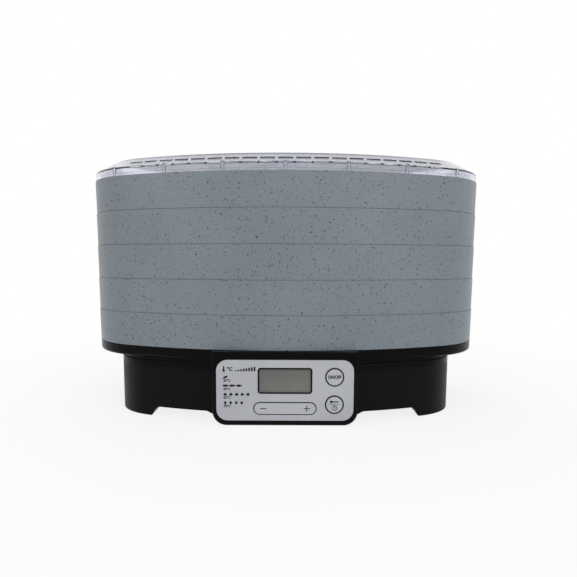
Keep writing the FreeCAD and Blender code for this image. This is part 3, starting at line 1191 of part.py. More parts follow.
# Inside leads, from the cord bushing, the motor and the control board to the sockets on the power board.
lead("supply_lead", "gland_place_z", ("0", f"({GLAND_INNER_END} - lead_gap)"),
     [f"({BOSS_Y} - boss_radius - lead_room)", "power_board_x + mains_socket_x"],
     "power_board_y + mains_socket_y + mains_socket_depth / 2 + lead_gap")
lead("motor_lead", f"({POWER_BOARD_TOP} + lead_rise)", ("0", "motor_radius + lead_gap"),
     ["power_board_y + motor_socket_y"], "power_board_x + motor_socket_x + motor_socket_width / 2 + lead_gap")
lead("panel_lead", f"({POWER_BOARD_TOP} + lead_rise)",
     ("-panel_lead_x", f"-({BOARD_FRONT} - board_thickness - lead_gap)"),
     [f"-({BOSS_Y} - boss_radius - lead_room)", "power_board_x + panel_socket_x"],
     "power_board_y + panel_socket_y - panel_socket_depth / 2 - lead_gap")

# Check and write
doc.recompute()
for thing in doc.Objects:
    if "Invalid" in thing.State or "Error" in thing.State:
        raise RuntimeError(f"{thing.Label}: {thing.State}")
os.makedirs("parts", exist_ok=True)
for thing in SUB_PARTS:
    if thing.Shape.isNull() or not thing.Shape.isValid():
        raise RuntimeError(f"{thing.Label}: bad shape")
    thing.Shape.exportStep(f"parts/{thing.Label}.step")
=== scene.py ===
import math

import bpy
from mathutils import Euler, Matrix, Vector


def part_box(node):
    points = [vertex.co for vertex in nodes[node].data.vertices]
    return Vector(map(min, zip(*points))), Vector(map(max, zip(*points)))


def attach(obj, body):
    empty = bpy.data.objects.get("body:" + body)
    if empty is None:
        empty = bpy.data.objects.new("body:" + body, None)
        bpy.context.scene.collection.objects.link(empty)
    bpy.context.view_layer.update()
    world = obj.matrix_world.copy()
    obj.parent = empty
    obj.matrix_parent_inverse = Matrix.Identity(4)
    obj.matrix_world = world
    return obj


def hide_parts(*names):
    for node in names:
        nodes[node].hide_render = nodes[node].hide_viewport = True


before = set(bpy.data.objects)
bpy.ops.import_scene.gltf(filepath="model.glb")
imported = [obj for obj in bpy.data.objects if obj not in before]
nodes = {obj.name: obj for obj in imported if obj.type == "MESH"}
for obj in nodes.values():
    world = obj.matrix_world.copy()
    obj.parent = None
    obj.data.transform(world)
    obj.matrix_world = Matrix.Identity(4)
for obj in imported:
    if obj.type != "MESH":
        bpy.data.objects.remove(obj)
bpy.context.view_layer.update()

# Base housing
# One deep shell of black ABS on four feet, with a pod in front for the control panel. It is injection
# moulded. The mould's fine spark texture leaves the body satin, and the band under the trays has a high polish.
# The band's colour is also painted darker: painted shade, where the trays above shade it.
MM = 0.001


class Flow:
    """A shader socket that can stand in a sum, so that a pattern reads like its formula."""

    def __init__(self, tree, socket):
        self.tree = tree
        self.socket = socket

    def node(self, kind, settings, inputs, output=0):
        """Any node: its settings first, then the values or links of its sockets."""
        made = self.tree.nodes.new(kind)
        for setting, value in settings.items():
            setattr(made, setting, value)
        for key, value in inputs.items():
            if isinstance(value, Flow):
                self.tree.links.new(value.socket, made.inputs[key])
            else:
                made.inputs[key].default_value = value
        return Flow(self.tree, made.outputs[output])

    def maths(self, operation, first, second=0.0):
        return self.node("ShaderNodeMath", {"operation": operation}, {0: first, 1: second})

    def __add__(self, other):
        return self.maths("ADD", self, other)

    def __sub__(self, other):
        return self.maths("SUBTRACT", self, other)

    def __rsub__(self, other):
        return self.maths("SUBTRACT", other, self)

    def __mul__(self, other):
        return self.maths("MULTIPLY", self, other)

    def __truediv__(self, other):
        return self.maths("DIVIDE", self, other)

    def __lt__(self, other):
        return self.maths("LESS_THAN", self, other)

    def __gt__(self, other):
        return self.maths("GREATER_THAN", self, other)

    __radd__ = __add__
    __rmul__ = __mul__

    def noise(self, scale, detail=2.0):
        return self.node("ShaderNodeTexNoise", {}, {"Vector": self, "Scale": scale, "Detail": detail}, "Fac")

    def part(self, axis):
        return self.node("ShaderNodeSeparateXYZ", {}, {0: self}, axis)

    def between(self, low, high):
        """A soft step from 0 at the low value to 1 at the high one."""
        settings = {"interpolation_type": "SMOOTHSTEP"}
        return self.node("ShaderNodeMapRange", settings, {"Value": self, "From Min": low, "From Max": high})

    def blend(self, low, high):
        """A colour that goes from low to high as this value goes from 0 to 1."""
        low, high = (c if isinstance(c, Flow) else (*c, 1.0) for c in (low, high))
        return self.node("ShaderNodeMix", {"data_type": "RGBA"}, {0: self, 6: low, 7: high}, 2)

    def bump(self, depth, strength=1.0):
        return self.node("ShaderNodeBump", {}, {"Height": self, "Distance": depth, "Strength": strength})

    def into(self, shader, socket):
        self.tree.links.new(self.socket, shader.inputs[socket])


def surface(name, constants):
    """A new material with its shader and the coordinates of the piece that wears it."""
    material = bpy.data.materials.new(name)
    material.use_nodes = True
    tree = material.node_tree
    shader = tree.nodes["Principled BSDF"]
    for socket, value in constants.items():
        shader.inputs[socket].default_value = value
    return material, shader, Flow(tree, tree.nodes.new("ShaderNodeTexCoord").outputs["Object"])


def dress(material, *names):
    for name in names:
        nodes[name].material_slots[0].material = material


SPARK_GRAIN, SPARK_DEPTH = 1800.0, 0.03 * MM
GLOSS_SWING = 0.16


def drift(place):
    """How far the colour has drifted, in patches as wide as a hand."""
    return place.noise(11.0, 3.0)


def uneven(place):
    """What the mould's wear adds to the roughness or takes from it, in patches as wide as a finger."""
    return GLOSS_SWING * (place.noise(34.0, 4.0) - 0.5)


def moulded(name, dark, light, rough, grain=SPARK_GRAIN, depth=SPARK_DEPTH, **extra):
    """Moulded plastic: a colour that drifts a little, uneven gloss, and the mould's fine texture."""
    material, shader, place = surface(name, extra)
    drift(place).blend(dark, light).into(shader, "Base Color")
    (rough + uneven(place)).into(shader, "Roughness")
    place.noise(grain).bump(depth).into(shader, "Normal")
    return material


SATIN_DARK, SATIN_LIGHT = (0.0028, 0.0028, 0.0031), (0.0044, 0.0044, 0.0047)
# Painted shade: the band under the trays is coloured darker than the satin body, in place of the trays' shadow.
BAND_SHADE_BLACK = (0.0006, 0.0006, 0.0008)
BODY_TOP, BAND_FOOT = 50 * MM, 55 * MM
SATIN_ROUGH, BAND_SMOOTHER, BAND_FLATTER = 0.4, 0.14, 0.8
satin_black, shader, place = surface("satin_black", {"Specular IOR Level": 0.07})
# This mask is 1 on the band under the trays: there it paints shade into the colour, and makes the surface smoother
# and flatter, as a real polish does.
band_polish_and_shade = place.part("Z").between(BODY_TOP, BAND_FOOT)
satin = drift(place).blend(SATIN_DARK, SATIN_LIGHT)
band_polish_and_shade.blend(satin, BAND_SHADE_BLACK).into(shader, "Base Color")
(SATIN_ROUGH - BAND_SMOOTHER * band_polish_and_shade + uneven(place)).into(shader, "Roughness")
(place.noise(SPARK_GRAIN) * (1 - BAND_FLATTER * band_polish_and_shade)).bump(SPARK_DEPTH).into(shader, "Normal")
dress(satin_black, "base_housing", "cord_gland")

# Bottom cover, its screws and the foot pads
# A slotted cover of the same black ABS closes the shell from below, held by six plated pan-head screws.
# The pads under the feet are moulded rubber, pressed on, with grooves against slipping.
matt_black = moulded("matt_black", (0.0025, 0.0025, 0.0028), (0.0048, 0.0048, 0.005), 0.5,
                     **{"Specular IOR Level": 0.12})
dress(matt_black, "bottom_cover")


def metal(name, dark, light, rough, scale=90.0, stretch=(1.0, 1.0, 1.0)):
    """Bare or plated metal, with faint rolling or turning marks along the stretched axis."""
    material, shader, place = surface(name, {"Metallic": 1.0})
    marks = place.node("ShaderNodeMapping", {}, {"Vector": place, "Scale": stretch}).noise(scale, 4.0)
    marks.blend(dark, light).into(shader, "Base Color")
    (rough + 0.2 * (marks - 0.5)).into(shader, "Roughness")
    marks.bump(0.02 * MM, 0.5).into(shader, "Normal")
    return material


plated_steel = metal("plated_steel", (0.42, 0.42, 0.43), (0.6, 0.6, 0.6), 0.3, 700.0)


def settle(piece, name, material):
    """Ends a piece: faces outwards, its place in its mesh, smooth where it is round, and its material on."""
    bpy.ops.object.mode_set(mode="EDIT")
    bpy.ops.mesh.select_all(action="SELECT")
    bpy.ops.mesh.normals_make_consistent(inside=False)
    bpy.ops.object.mode_set(mode="OBJECT")
    bpy.ops.object.transform_apply(location=True, rotation=True, scale=True)
    bpy.ops.object.shade_smooth_by_angle(angle=math.radians(40))
    piece.name = name
    piece.data.materials.clear()
    piece.data.materials.append(material)
    return piece


def draw_out(rings, foot, turn, sides=48):
    """A disc that is drawn out ring by ring. A ring is its distance along the axis and its radius, in mm."""
    foot = Vector(foot)
    axis = Euler(turn).to_matrix() @ Vector((0, 0, MM))
    along, radius = rings[0]
    bpy.ops.object.select_all(action="DESELECT")
    bpy.ops.mesh.primitive_circle_add(vertices=sides, radius=radius * MM, fill_type="NGON",
                                      location=foot + along * axis, rotation=turn)
    bpy.ops.object.mode_set(mode="EDIT")
    bpy.ops.mesh.select_all(action="SELECT")
    for far, size in rings[1:]:
        bpy.ops.mesh.extrude_region_move(TRANSFORM_OT_translate={"value": axis * (far - along)})
        bpy.ops.transform.resize(value=[size / radius] * 3, center_override=foot + far * axis)
        along, radius = far, size
    bpy.ops.object.mode_set(mode="OBJECT")
    return bpy.context.object


def carve(piece, cutter):
    """Takes the cutter's shape out of the piece."""
    bpy.ops.object.select_all(action="DESELECT")
    bpy.context.view_layer.objects.active = piece
    cut = piece.modifiers.new("cut", "BOOLEAN")
    cut.object = cutter
    cut.solver = "EXACT"
    bpy.ops.object.modifier_apply(modifier=cut.name)
    bpy.data.objects.remove(cutter)
    piece.select_set(True)


def spots(node, apart=9 * MM):
    """The middles of the like solids of a node, seen from above."""
    groups = []
    for vertex in nodes[node].data.vertices:
        x, y = vertex.co.x, vertex.co.y
        for group in groups:
            if math.hypot(x - group[0][0], y - group[0][1]) < apart:
                group.append((x, y))
                break
        else:
            groups.append([(x, y)])
    return [[(min(way) + max(way)) / 2 for way in zip(*group)] for group in groups]


def set_out(piece, places):
    """Copies a piece from the first place to the others, seen from above, and joins them all into one."""
    pieces = [piece]
    for place in places[1:]:
        bpy.ops.object.select_all(action="DESELECT")
        piece.select_set(True)
        bpy.context.view_layer.objects.active = piece
        bpy.ops.object.duplicate()
        bpy.ops.transform.translate(value=Vector((*place, 0)) - Vector((*places[0], 0)))
        pieces.append(bpy.context.object)
    for each in pieces:
        each.select_set(True)
    bpy.context.view_layer.objects.active = piece
    bpy.ops.object.join()
    return piece


FACE_DOWN, FACE_UP = (math.pi, 0, 0), (0, 0, 0)
SHANK, THREAD, TURN_APART, TURNS, TAIL = 1.2, 1.5, 1.0, 7, 9.0
SCREW_TIP = [(-TAIL, 0.4), (-TAIL + 1.2, SHANK)]
HEAD_HIGH, HEAD = 1.8, 3.0
SCREW_HEAD = [(0, SHANK), (0, HEAD), (0.9, HEAD), (1.35, 2.72), (1.64, 2.1), (1.78, 1.2), (HEAD_HIGH, 0.6)]
RECESS_FLOOR = 0.75
RECESS_BLADE = [(RECESS_FLOOR, 0.35), (0.9, 0.75), (2.4, 0.95)]
BLADE_LONG, BLADE_THIN, BLADE_STEP = 2.3, 0.5, 0.04


def screw_set(node, seat, turn):
    """Pan-head screws with a cross recess in place of a node's plain ones. Their heads bear on the seat."""
    rings = list(SCREW_TIP)
    for coil in range(TURNS):
        foot = 1.4 - TAIL + coil * TURN_APART
        rings += [(foot, SHANK), (foot + 0.5 * TURN_APART, THREAD), (foot + 0.9 * TURN_APART, SHANK)]
    places = spots(node)
    middle = (*places[0], seat)
    screw = draw_out(rings + SCREW_HEAD, middle, turn, 24)
    floor_point = Vector(middle) + Euler(turn).to_matrix() @ Vector((0, 0, RECESS_FLOOR * MM))
    for quarter, spread in ((0, (BLADE_THIN, BLADE_LONG, 1)), (1, (BLADE_LONG, BLADE_THIN, 1))):
        blade = draw_out([(far - quarter * BLADE_STEP, size) for far, size in RECESS_BLADE], middle, turn, 4)
        bpy.ops.object.mode_set(mode="EDIT")
        bpy.ops.mesh.select_all(action="SELECT")
        bpy.ops.transform.rotate(value=math.pi / 4 + quarter * math.pi / 2, orient_axis="Z",
                                 center_override=middle)
        bpy.ops.transform.resize(value=spread, center_override=floor_point)
        bpy.ops.object.mode_set(mode="OBJECT")
        carve(screw, blade)
    piece = settle(set_out(screw, places), f"{node}_cross_head", plated_steel)
    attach(piece, "base")
    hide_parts(node)


screw_set("cover_screws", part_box("cover_screws")[0].z + HEAD_HIGH * MM, FACE_DOWN)

PAD_RIM = [(2.0, 8.0), (0.4, 8.0), (0.1, 7.7), (0, 7.2)]
PAD_GROOVES = [(0, 6.0), (0.6, 5.7), (0.6, 4.9), (0, 4.6), (0, 3.2), (0.6, 2.9), (0.6, 2.1), (0, 1.8), (0, 0.6)]
pad_rubber = moulded("pad_rubber", (0.012, 0.012, 0.012), (0.02, 0.02, 0.021), 0.75, 900.0, 0.05 * MM)
pad_places = spots("foot_pads", 30 * MM)
round_pad = draw_out(PAD_RIM + PAD_GROOVES, (*pad_places[0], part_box("foot_pads")[0].z), FACE_UP)
grooved_pads = settle(set_out(round_pad, pad_places), "grooved_foot_pads", pad_rubber)
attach(grooved_pads, "base")
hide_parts("foot_pads")

# Power board and leads
# A green glass-fibre board on the cover, with moulded relays and a transformer on it, and silicone-sleeved
# leads to the gland, the motor and the control board.
solder_mask, shader, place = surface("solder_mask", {"Roughness": 0.35})
weave = place.node("ShaderNodeTexBrick", {"offset": 0.5}, {
    "Vector": place, "Scale": 220.0, "Color1": (0.004, 0.05, 0.012, 1), "Color2": (0.006, 0.075, 0.018, 1),
    "Mortar": (0.01, 0.1, 0.03, 1), "Mortar Size": 0.05,
}, "Color")
weave.into(shader, "Base Color")
place.noise(1200.0).bump(0.02 * MM).into(shader, "Normal")
dress(solder_mask, "power_board", "control_board")

component_black = moulded("component_black", (0.008, 0.008, 0.009), (0.018, 0.018, 0.019), 0.5)
dress(component_black, "power_components", "tact_switches", "thermistor")
sleeve_red = moulded("sleeve_red", (0.2, 0.009, 0.006), (0.3, 0.016, 0.01), 0.55, 500.0)
dress(sleeve_red, "supply_lead", "motor_lead", "panel_lead")
dress(plated_steel, "power_board_screws", "board_screws", "bracket_screws", "shield_screws")

# Motor, bracket and fan
# A plated can motor hangs on a three-armed bracket of galvanised sheet under the duct. Its steel shaft
# carries the moulded fan.
motor_plate = metal("motor_plate", (0.3, 0.31, 0.32), (0.42, 0.43, 0.44), 0.34, 60.0, (1.0, 1.0, 14.0))
galvanised = metal("galvanised", (0.38, 0.39, 0.4), (0.62, 0.63, 0.64), 0.42, 130.0)
fan_plastic = moulded("fan_plastic", (0.02, 0.02, 0.022), (0.032, 0.032, 0.034), 0.45)
dress(motor_plate, "fan_motor")
dress(galvanised, "motor_bracket", "heat_shield", "thermal_cutout")
dress(plated_steel, "fan_shaft")
dress(fan_plastic, "fan_impeller")

# Heater
# Two rings of wound resistance wire lie in the notches of a mica cross inside the sheet-metal duct. The wire
# is oxidised to a dull brown grey, and the mica is a flaky amber sheet.
mica, shader, place = surface("mica_sheet", {"Roughness": 0.5})
flakes = place.noise(160.0, 5.0)
flakes.between(0.35, 0.65).blend((0.35, 0.25, 0.13), (0.55, 0.44, 0.28)).into(shader, "Base Color")
flakes.bump(0.1 * MM, 0.6).into(shader, "Normal")
dress(mica, "heater_mica")

oxidised_wire = metal("oxidised_wire", (0.12, 0.1, 0.09), (0.24, 0.2, 0.17), 0.5, 400.0)
coil_low, coil_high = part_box("heater_coils")
coil_level = (coil_low.z + coil_high.z) / 2
WIRE, WINDING, WINDING_PITCH = 0.35 * MM, 2.8 * MM, 2.4 * MM
RING_RADII = (38 * MM, 60 * MM)
windings = []
for ring_radius in RING_RADII:
    turns = round(2 * math.pi * ring_radius / WINDING_PITCH)
    bpy.ops.object.select_all(action="DESELECT")
    bpy.ops.mesh.primitive_circle_add(vertices=6, radius=WIRE, location=(WINDING, 0, 0),
                                      rotation=(math.pi / 2, 0, 0))
    bpy.ops.object.transform_apply(location=True, rotation=True, scale=True)
    spring = bpy.context.object
    winder = spring.modifiers.new("winder", "SCREW")
    winder.axis = "Z"
    winder.steps = winder.render_steps = 10
    winder.iterations = turns
    winder.screw_offset = 2 * math.pi * ring_radius / turns
    winder.use_smooth_shade = True
    bpy.ops.object.modifier_apply(modifier=winder.name)
    bpy.ops.object.mode_set(mode="EDIT")
    bpy.ops.mesh.select_all(action="DESELECT")
    bpy.ops.mesh.select_non_manifold()
    bpy.ops.mesh.edge_face_add()
    bpy.ops.object.mode_set(mode="OBJECT")
    bpy.ops.curve.primitive_bezier_circle_add(radius=ring_radius)
    hoop = bpy.context.object
    hoop.data.resolution_u = 48
    bpy.ops.object.select_all(action="DESELECT")
    spring.select_set(True)
    bpy.context.view_layer.objects.active = spring
    wrap = spring.modifiers.new("wrap", "CURVE")
    wrap.object = hoop
    wrap.deform_axis = "POS_Z"
    bpy.ops.object.modifier_apply(modifier=wrap.name)
    bpy.data.objects.remove(hoop)
    bpy.ops.transform.translate(value=(0, 0, coil_level))
    windings.append(spring)
for spring in windings:
    spring.select_set(True)
bpy.ops.object.join()
wound_heater = settle(bpy.context.object, "wound_heater_rings", oxidised_wire)
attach(wound_heater, "base")
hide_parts("heater_coils")

# Deck and grille
# The black deck closes the base from above inside the seat of the first tray, and a moulded grille of rings
# sits over the fan. Four screws hold the deck.
dress(matt_black, "base_deck", "outlet_grille")
screw_set("deck_screws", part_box("deck_screws")[1].z - HEAD_HIGH * MM, FACE_UP)

# Control plate
# A silver-painted plate in the pod's seat. Its paint has fine metal flakes, and its legends are screen
# printed in dark grey: rings round the keys, and a column of pictures with their heats.
SILVER_DARK, SILVER_LIGHT = (0.415, 0.424, 0.452), (0.495, 0.507, 0.535)
silver_paint, shader, place = surface("silver_paint", {"Metallic": 0.3, "Specular IOR Level": 0.4})
flake = place.noise(2600.0, 1.0)
cloud = place.noise(24.0, 3.0)
(0.6 * flake + 0.4 * cloud).between(0.3, 0.7).blend(SILVER_DARK, SILVER_LIGHT).into(shader, "Base Color")
(0.4 + 0.12 * (cloud - 0.5)).into(shader, "Roughness")
flake.bump(0.01 * MM, 0.4).into(shader, "Normal")
dress(silver_paint, "control_fascia")

print_ink = moulded("print_ink", (0.007, 0.007, 0.009), (0.012, 0.012, 0.014), 0.5, 2000.0, 0.01 * MM,
                    **{"Specular IOR Level": 0.1})
PLATE_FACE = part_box("control_fascia")[0].y
INK, SUNK = 0.05 * MM, 0.02 * MM
KEY_X, ON_OFF_Z, MODE_Z, ROCKER_Z = 48.5, 49.4, 22.0, 18.0
KEY_RING, KEY_LINE = 18.8, 0.5


def begin_print(face):
    """An empty sheet for flat outlines that lie just inside a face that looks forward."""
    bpy.ops.object.select_all(action="DESELECT")
    bpy.ops.object.add(type="MESH", location=(0, 0, 0))
    sheet = bpy.context.object
    sheet["face"] = face
    bpy.ops.object.mode_set(mode="EDIT")
    return sheet


def blot(sheet, x, z, width, height, sides=32, turn=0.0, line=0.0):
    """One outline on the sheet, in mm: a spot with many sides or a bar with four, filled or as a line."""
    middle = (x * MM, sheet["face"] + SUNK, z * MM)
    corner = 0.5 * MM / math.cos(math.pi / sides)
    bpy.ops.mesh.select_all(action="DESELECT")
    bpy.ops.mesh.primitive_circle_add(vertices=sides, radius=corner, fill_type="NGON", location=middle,
                                      rotation=(math.pi / 2, math.pi / sides, 0))
    bpy.ops.transform.resize(value=(width, 1, height), center_override=middle)
    if line:
        bpy.ops.mesh.inset(thickness=line * MM, use_boundary=True)
        bpy.ops.mesh.delete(type="FACE")
    elif turn:
        bpy.ops.transform.rotate(value=turn, orient_axis="Y", center_override=middle)


def bar(sheet, x, z, width, height, turn=0.0):
    blot(sheet, x, z, width, height, 4, turn)


def end_print(sheet, name, body):
    """Gives the sheet's outlines their ink's thickness."""
    bpy.ops.mesh.select_all(action="SELECT")
    bpy.ops.mesh.extrude_region_move(TRANSFORM_OT_translate={"value": (0, -(SUNK + INK), 0)})
    bpy.ops.object.mode_set(mode="OBJECT")
    settle(sheet, name, print_ink)
    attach(sheet, body)


BOLDER, LETTER_WELD = 0.042, 0.05


def lettering(words, x, z, size, face, body, name, narrow=1.0):
    """Printed figures or words, centred on a place, as a mesh of the ink's thickness."""
    bpy.ops.object.select_all(action="DESELECT")
    bpy.ops.object.text_add(location=(0, 0, 0))
    text = bpy.context.object
    text.data.body = words
    text.data.size = size * MM
    text.data.align_x = "CENTER"
    text.data.align_y = "CENTER"
    text.data.extrude = (SUNK + INK) / 2
    text.data.offset = BOLDER * size * MM
    text.data.resolution_u = 4
    bpy.ops.object.convert(target="MESH")
    piece = bpy.context.object
    bpy.ops.object.mode_set(mode="EDIT")
    bpy.ops.mesh.select_all(action="SELECT")
    bpy.ops.mesh.remove_doubles(threshold=LETTER_WELD * MM)
    bpy.ops.object.mode_set(mode="OBJECT")
    piece.rotation_euler = (math.pi / 2, 0, 0)
    piece.scale = (narrow, 1, 1)
    piece.location = (x * MM, face - (INK - SUNK) / 2, z * MM)
    settle(piece, name, print_ink)
    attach(piece, body)


plate_print = begin_print(PLATE_FACE)
for z in (ON_OFF_Z, MODE_Z):
    blot(plate_print, KEY_X, z, KEY_RING, KEY_RING, 72, line=KEY_LINE)


def leaf(x, z):
    blot(plate_print, x + 0.4, z, 4.8, 2.1, turn=0.5)
    bar(plate_print, x - 2.0, z - 0.9, 1.8, 0.4, 0.5)


def fish(x, z):
    blot(plate_print, x - 0.5, z, 3.9, 2.1)
    blot(plate_print, x + 1.9, z, 1.5, 2.2, 3, math.pi / 2)


def apple(x, z):
    for side in (-1, 1):
        blot(plate_print, x + 0.6 * side, z - 0.3, 2.0, 2.4)
    bar(plate_print, x + 0.2, z + 1.3, 0.4, 1.0, 0.3)


def acorn(x, z):
    blot(plate_print, x, z - 0.5, 2.0, 2.4)
    blot(plate_print, x, z + 0.6, 2.9, 1.2)
    bar(plate_print, x, z + 1.4, 0.4, 0.7)


COLUMN_X, HEADING_Z = -58.6, 57.0
THERMOMETER_X = COLUMN_X - 1.2
STEM, BULB = 1.3, 2.5
bar(plate_print, THERMOMETER_X, HEADING_Z + 0.6, STEM, 3.8)
blot(plate_print, THERMOMETER_X, HEADING_Z - 1.3, BULB, BULB)
blot(plate_print, THERMOMETER_X, HEADING_Z + 2.5, STEM, STEM)
SCALE_X, SCALE_FOOT, SCALE_STEP, SCALE_BAR = COLUMN_X + 10.6, HEADING_Z - 2.0, 2.6, 1.7
for step in range(8):
    high = 0.5 * (step + 2)
    bar(plate_print, SCALE_X + SCALE_STEP * step, SCALE_FOOT + high / 2, SCALE_BAR, high)
ROWS = (
    (47.5, "35°C", leaf, 1, 6.6),
    (39.0, "45°C", fish, 3, 6.6),
    (30.5, "55°C", apple, 5, 5.6),
    (21.9, "70°C", acorn, 4, 5.4),
)
PICTURE_RISE, HEAT_DROP, HEAT_X, HEAT_SIZE = 1.7, 1.8, COLUMN_X + 1.8, 3.3
for z, heat, picture, count, apart in ROWS:
    for place_in_row in range(count):
        picture(COLUMN_X + apart * place_in_row, z + PICTURE_RISE)
end_print(plate_print, "plate_print", "base")
lettering("°C", COLUMN_X + 4.6, HEADING_Z, 5.0, PLATE_FACE, "base", "plate_unit")
for row, (z, heat, picture, count, apart) in enumerate(ROWS, 1):
    lettering(heat, HEAT_X, z - HEAT_DROP, HEAT_SIZE, PLATE_FACE, "base", f"plate_figure_{row}")

# Display
# A grey liquid-crystal module lies behind a clear acrylic window, with a thin black moulded frame round it.
CRYSTAL_DARK, CRYSTAL_LIGHT = (0.1, 0.1, 0.09), (0.2, 0.205, 0.18)
# Painted light: the crystal's colour is lighter towards the bottom and towards the right around this middle, with
# a little noise.
PAINTED_LIGHT_MIDDLE = Vector((4, 0, 41)) * MM
PAINTED_LIGHT_HEIGHT, PAINTED_LIGHT_WIDTH = (-8 * MM, 12 * MM), (-30 * MM, 20 * MM)
crystal, shader, place = surface("liquid_crystal", {"Roughness": 0.3})
glow = place.node("ShaderNodeMapping", {}, {"Vector": place, "Location": -PAINTED_LIGHT_MIDDLE})
height = glow.part("Z").between(*PAINTED_LIGHT_HEIGHT)
across = glow.part("X").between(*PAINTED_LIGHT_WIDTH)
light = 0.55 * (1 - height) + 0.3 * across + 0.25 * place.noise(60.0)
light.blend(CRYSTAL_DARK, CRYSTAL_LIGHT).into(shader, "Base Color")
dress(crystal, "display_module")
window, shader, place = surface("clear_window", {"Roughness": 0.12, "IOR": 1.45, "Specular IOR Level": 0.3})
place.noise(90.0).blend((0.3, 0.31, 0.29), (0.36, 0.37, 0.35)).into(shader, "Base Color")
(0.1 + 0.05 * place.noise(30.0)).into(shader, "Alpha")
dress(window, "display_window")

DISPLAY_Z = 45.6
FRAME_WIDE, FRAME_HIGH, FRAME_CORNER, FRAME_LINE = 53.4, 25.8, 3.0, 1.4
FRAME_DEEP, FRAME_EASE, FRAME_CROWN = 0.37, 0.15, 0.08
frame_middle = (0, PLATE_FACE + SUNK, DISPLAY_Z * MM)
bpy.ops.object.select_all(action="DESELECT")
bpy.ops.mesh.primitive_plane_add(size=MM, location=frame_middle, rotation=(math.pi / 2, 0, 0))
bpy.ops.transform.resize(value=(FRAME_WIDE, 1, FRAME_HIGH), center_override=frame_middle)
bpy.ops.object.transform_apply(location=True, rotation=True, scale=True)
bpy.ops.object.mode_set(mode="EDIT")
bpy.ops.mesh.select_all(action="SELECT")
bpy.ops.mesh.bevel(offset=FRAME_CORNER * MM, segments=8, affect="VERTICES")
bpy.ops.mesh.select_all(action="SELECT")
bpy.ops.mesh.inset(thickness=FRAME_LINE * MM, use_boundary=True)
bpy.ops.mesh.delete(type="FACE")
bpy.ops.mesh.select_all(action="SELECT")
bpy.ops.mesh.extrude_region_move(TRANSFORM_OT_translate={"value": (0, -FRAME_DEEP * MM, 0)})
bpy.ops.mesh.inset(thickness=FRAME_EASE * MM, depth=FRAME_CROWN * MM, use_boundary=True)
bpy.ops.object.mode_set(mode="OBJECT")
bezel = settle(bpy.context.object, "display_frame", satin_black)
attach(bezel, "base")

# Keys and rocker
# Two round keys and one long rocker, moulded in silver and standing a little proud of the plate. A key has a
# rim behind the plate that keeps it in, and a stem that presses a switch. Each face has a dark printed edge.
FACE_FRONT = (math.pi / 2, 0, 0)
STEM_BACK, STEM_RADIUS, RIM_BACK, RIM_FRONT, RIM_RADIUS = 143.1, 2.6, 146.3, 147.3, 10.2
KEY_RADIUS, KEY_EDGE, KEY_FRONT, KEY_TOP = 8.65, 149.75, 150.12, 7.95
KEY_STEM = [(STEM_BACK, STEM_RADIUS), (RIM_BACK, STEM_RADIUS), (RIM_BACK, RIM_RADIUS), (RIM_FRONT, RIM_RADIUS)]
KEY_FACE = [(RIM_FRONT, KEY_RADIUS), (KEY_EDGE, KEY_RADIUS), (149.95, 8.56), (150.07, 8.36), (KEY_FRONT, 8.05),
            (KEY_FRONT, KEY_TOP)]
PRINTED_FROM = -149.8 * MM
key = draw_out(KEY_STEM + KEY_FACE, (KEY_X * MM, 0, ON_OFF_Z * MM), FACE_FRONT, 72)
settle(key, "on_off_button_moulding", silver_paint)
key.data.materials.append(print_ink)
for face in key.data.polygons:
    reach = math.hypot(face.center.x - KEY_X * MM, face.center.z - ON_OFF_Z * MM)
    if face.center.y < PRINTED_FROM and reach > (KEY_TOP - 0.05) * MM:
        face.material_index = 1
bpy.ops.object.duplicate()
mode_key = bpy.context.object
mode_key.name = "mode_button_moulding"
bpy.ops.transform.translate(value=(0, 0, (MODE_Z - ON_OFF_Z) * MM))
bpy.ops.object.transform_apply(location=True, rotation=True, scale=True)
for piece, node in ((key, "on_off_button"), (mode_key, "mode_button")):
    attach(piece, node)
    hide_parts(node)

LEGEND_SIZE, LEGEND_NARROW = 4.6, 0.77
key_face = -KEY_FRONT * MM
lettering("ON/OFF", KEY_X, ON_OFF_Z, LEGEND_SIZE, key_face, "on_off_button", "on_off_legend", LEGEND_NARROW)
HEAT_SIGN_Z, CLOCK_Z, CLOCK = MODE_Z + 2.9, MODE_Z - 3.2, 5.2
mode_print = begin_print(key_face)
bar(mode_print, KEY_X + 0.7, HEAT_SIGN_Z, 6.6, 1.1)
blot(mode_print, KEY_X - 3.0, HEAT_SIGN_Z, 2.6, 2.6)
bar(mode_print, KEY_X, MODE_Z + 0.4, 10.4, 0.4)
blot(mode_print, KEY_X, CLOCK_Z, CLOCK, CLOCK, 40, line=0.6)
bar(mode_print, KEY_X, CLOCK_Z + 0.9, 0.5, 2.0)
bar(mode_print, KEY_X + 0.7, CLOCK_Z, 1.8, 0.5)
end_print(mode_print, "mode_legend", "mode_button")

PILL_REACH, PILL_RADIUS, PILL_SIDES = 24.55, 6.25, 64
PILL_BACK, PILL_DEEP = 147.0, 2.75
PILL_CROWN = ((0.09, 0.2), (0.2, 0.12), (0.31, 0.05), (0.1, 0.0))
PILL_LINE = 0.75
LARGEST_EDGE_FACE = 20 * MM * MM
PIVOT_BACK, PIVOT_RADIUS, PIVOT_SHORT = 145.4, 1.2, 0.9
PIVOT_ENDS = [(8.8, PIVOT_SHORT), (9.1, PIVOT_RADIUS), (26.9, PIVOT_RADIUS), (27.2, PIVOT_SHORT)]
PIVOT_BLOCK = [(143.2, 1.6), (143.4, 2.2), (147.2, 2.2)]
PRESS_STEM = [(STEM_BACK, STEM_RADIUS), (147.2, STEM_RADIUS)]
PRESS_X = 21.4
bpy.ops.object.select_all(action="DESELECT")
bpy.ops.mesh.primitive_circle_add(vertices=PILL_SIDES, radius=PILL_RADIUS * MM, fill_type="NGON",
                                  location=(0, -PILL_BACK * MM, ROCKER_Z * MM),
                                  rotation=(math.pi / 2, math.pi / PILL_SIDES, 0))
bpy.ops.object.transform_apply(location=True, rotation=True, scale=True)
rocker = bpy.context.object
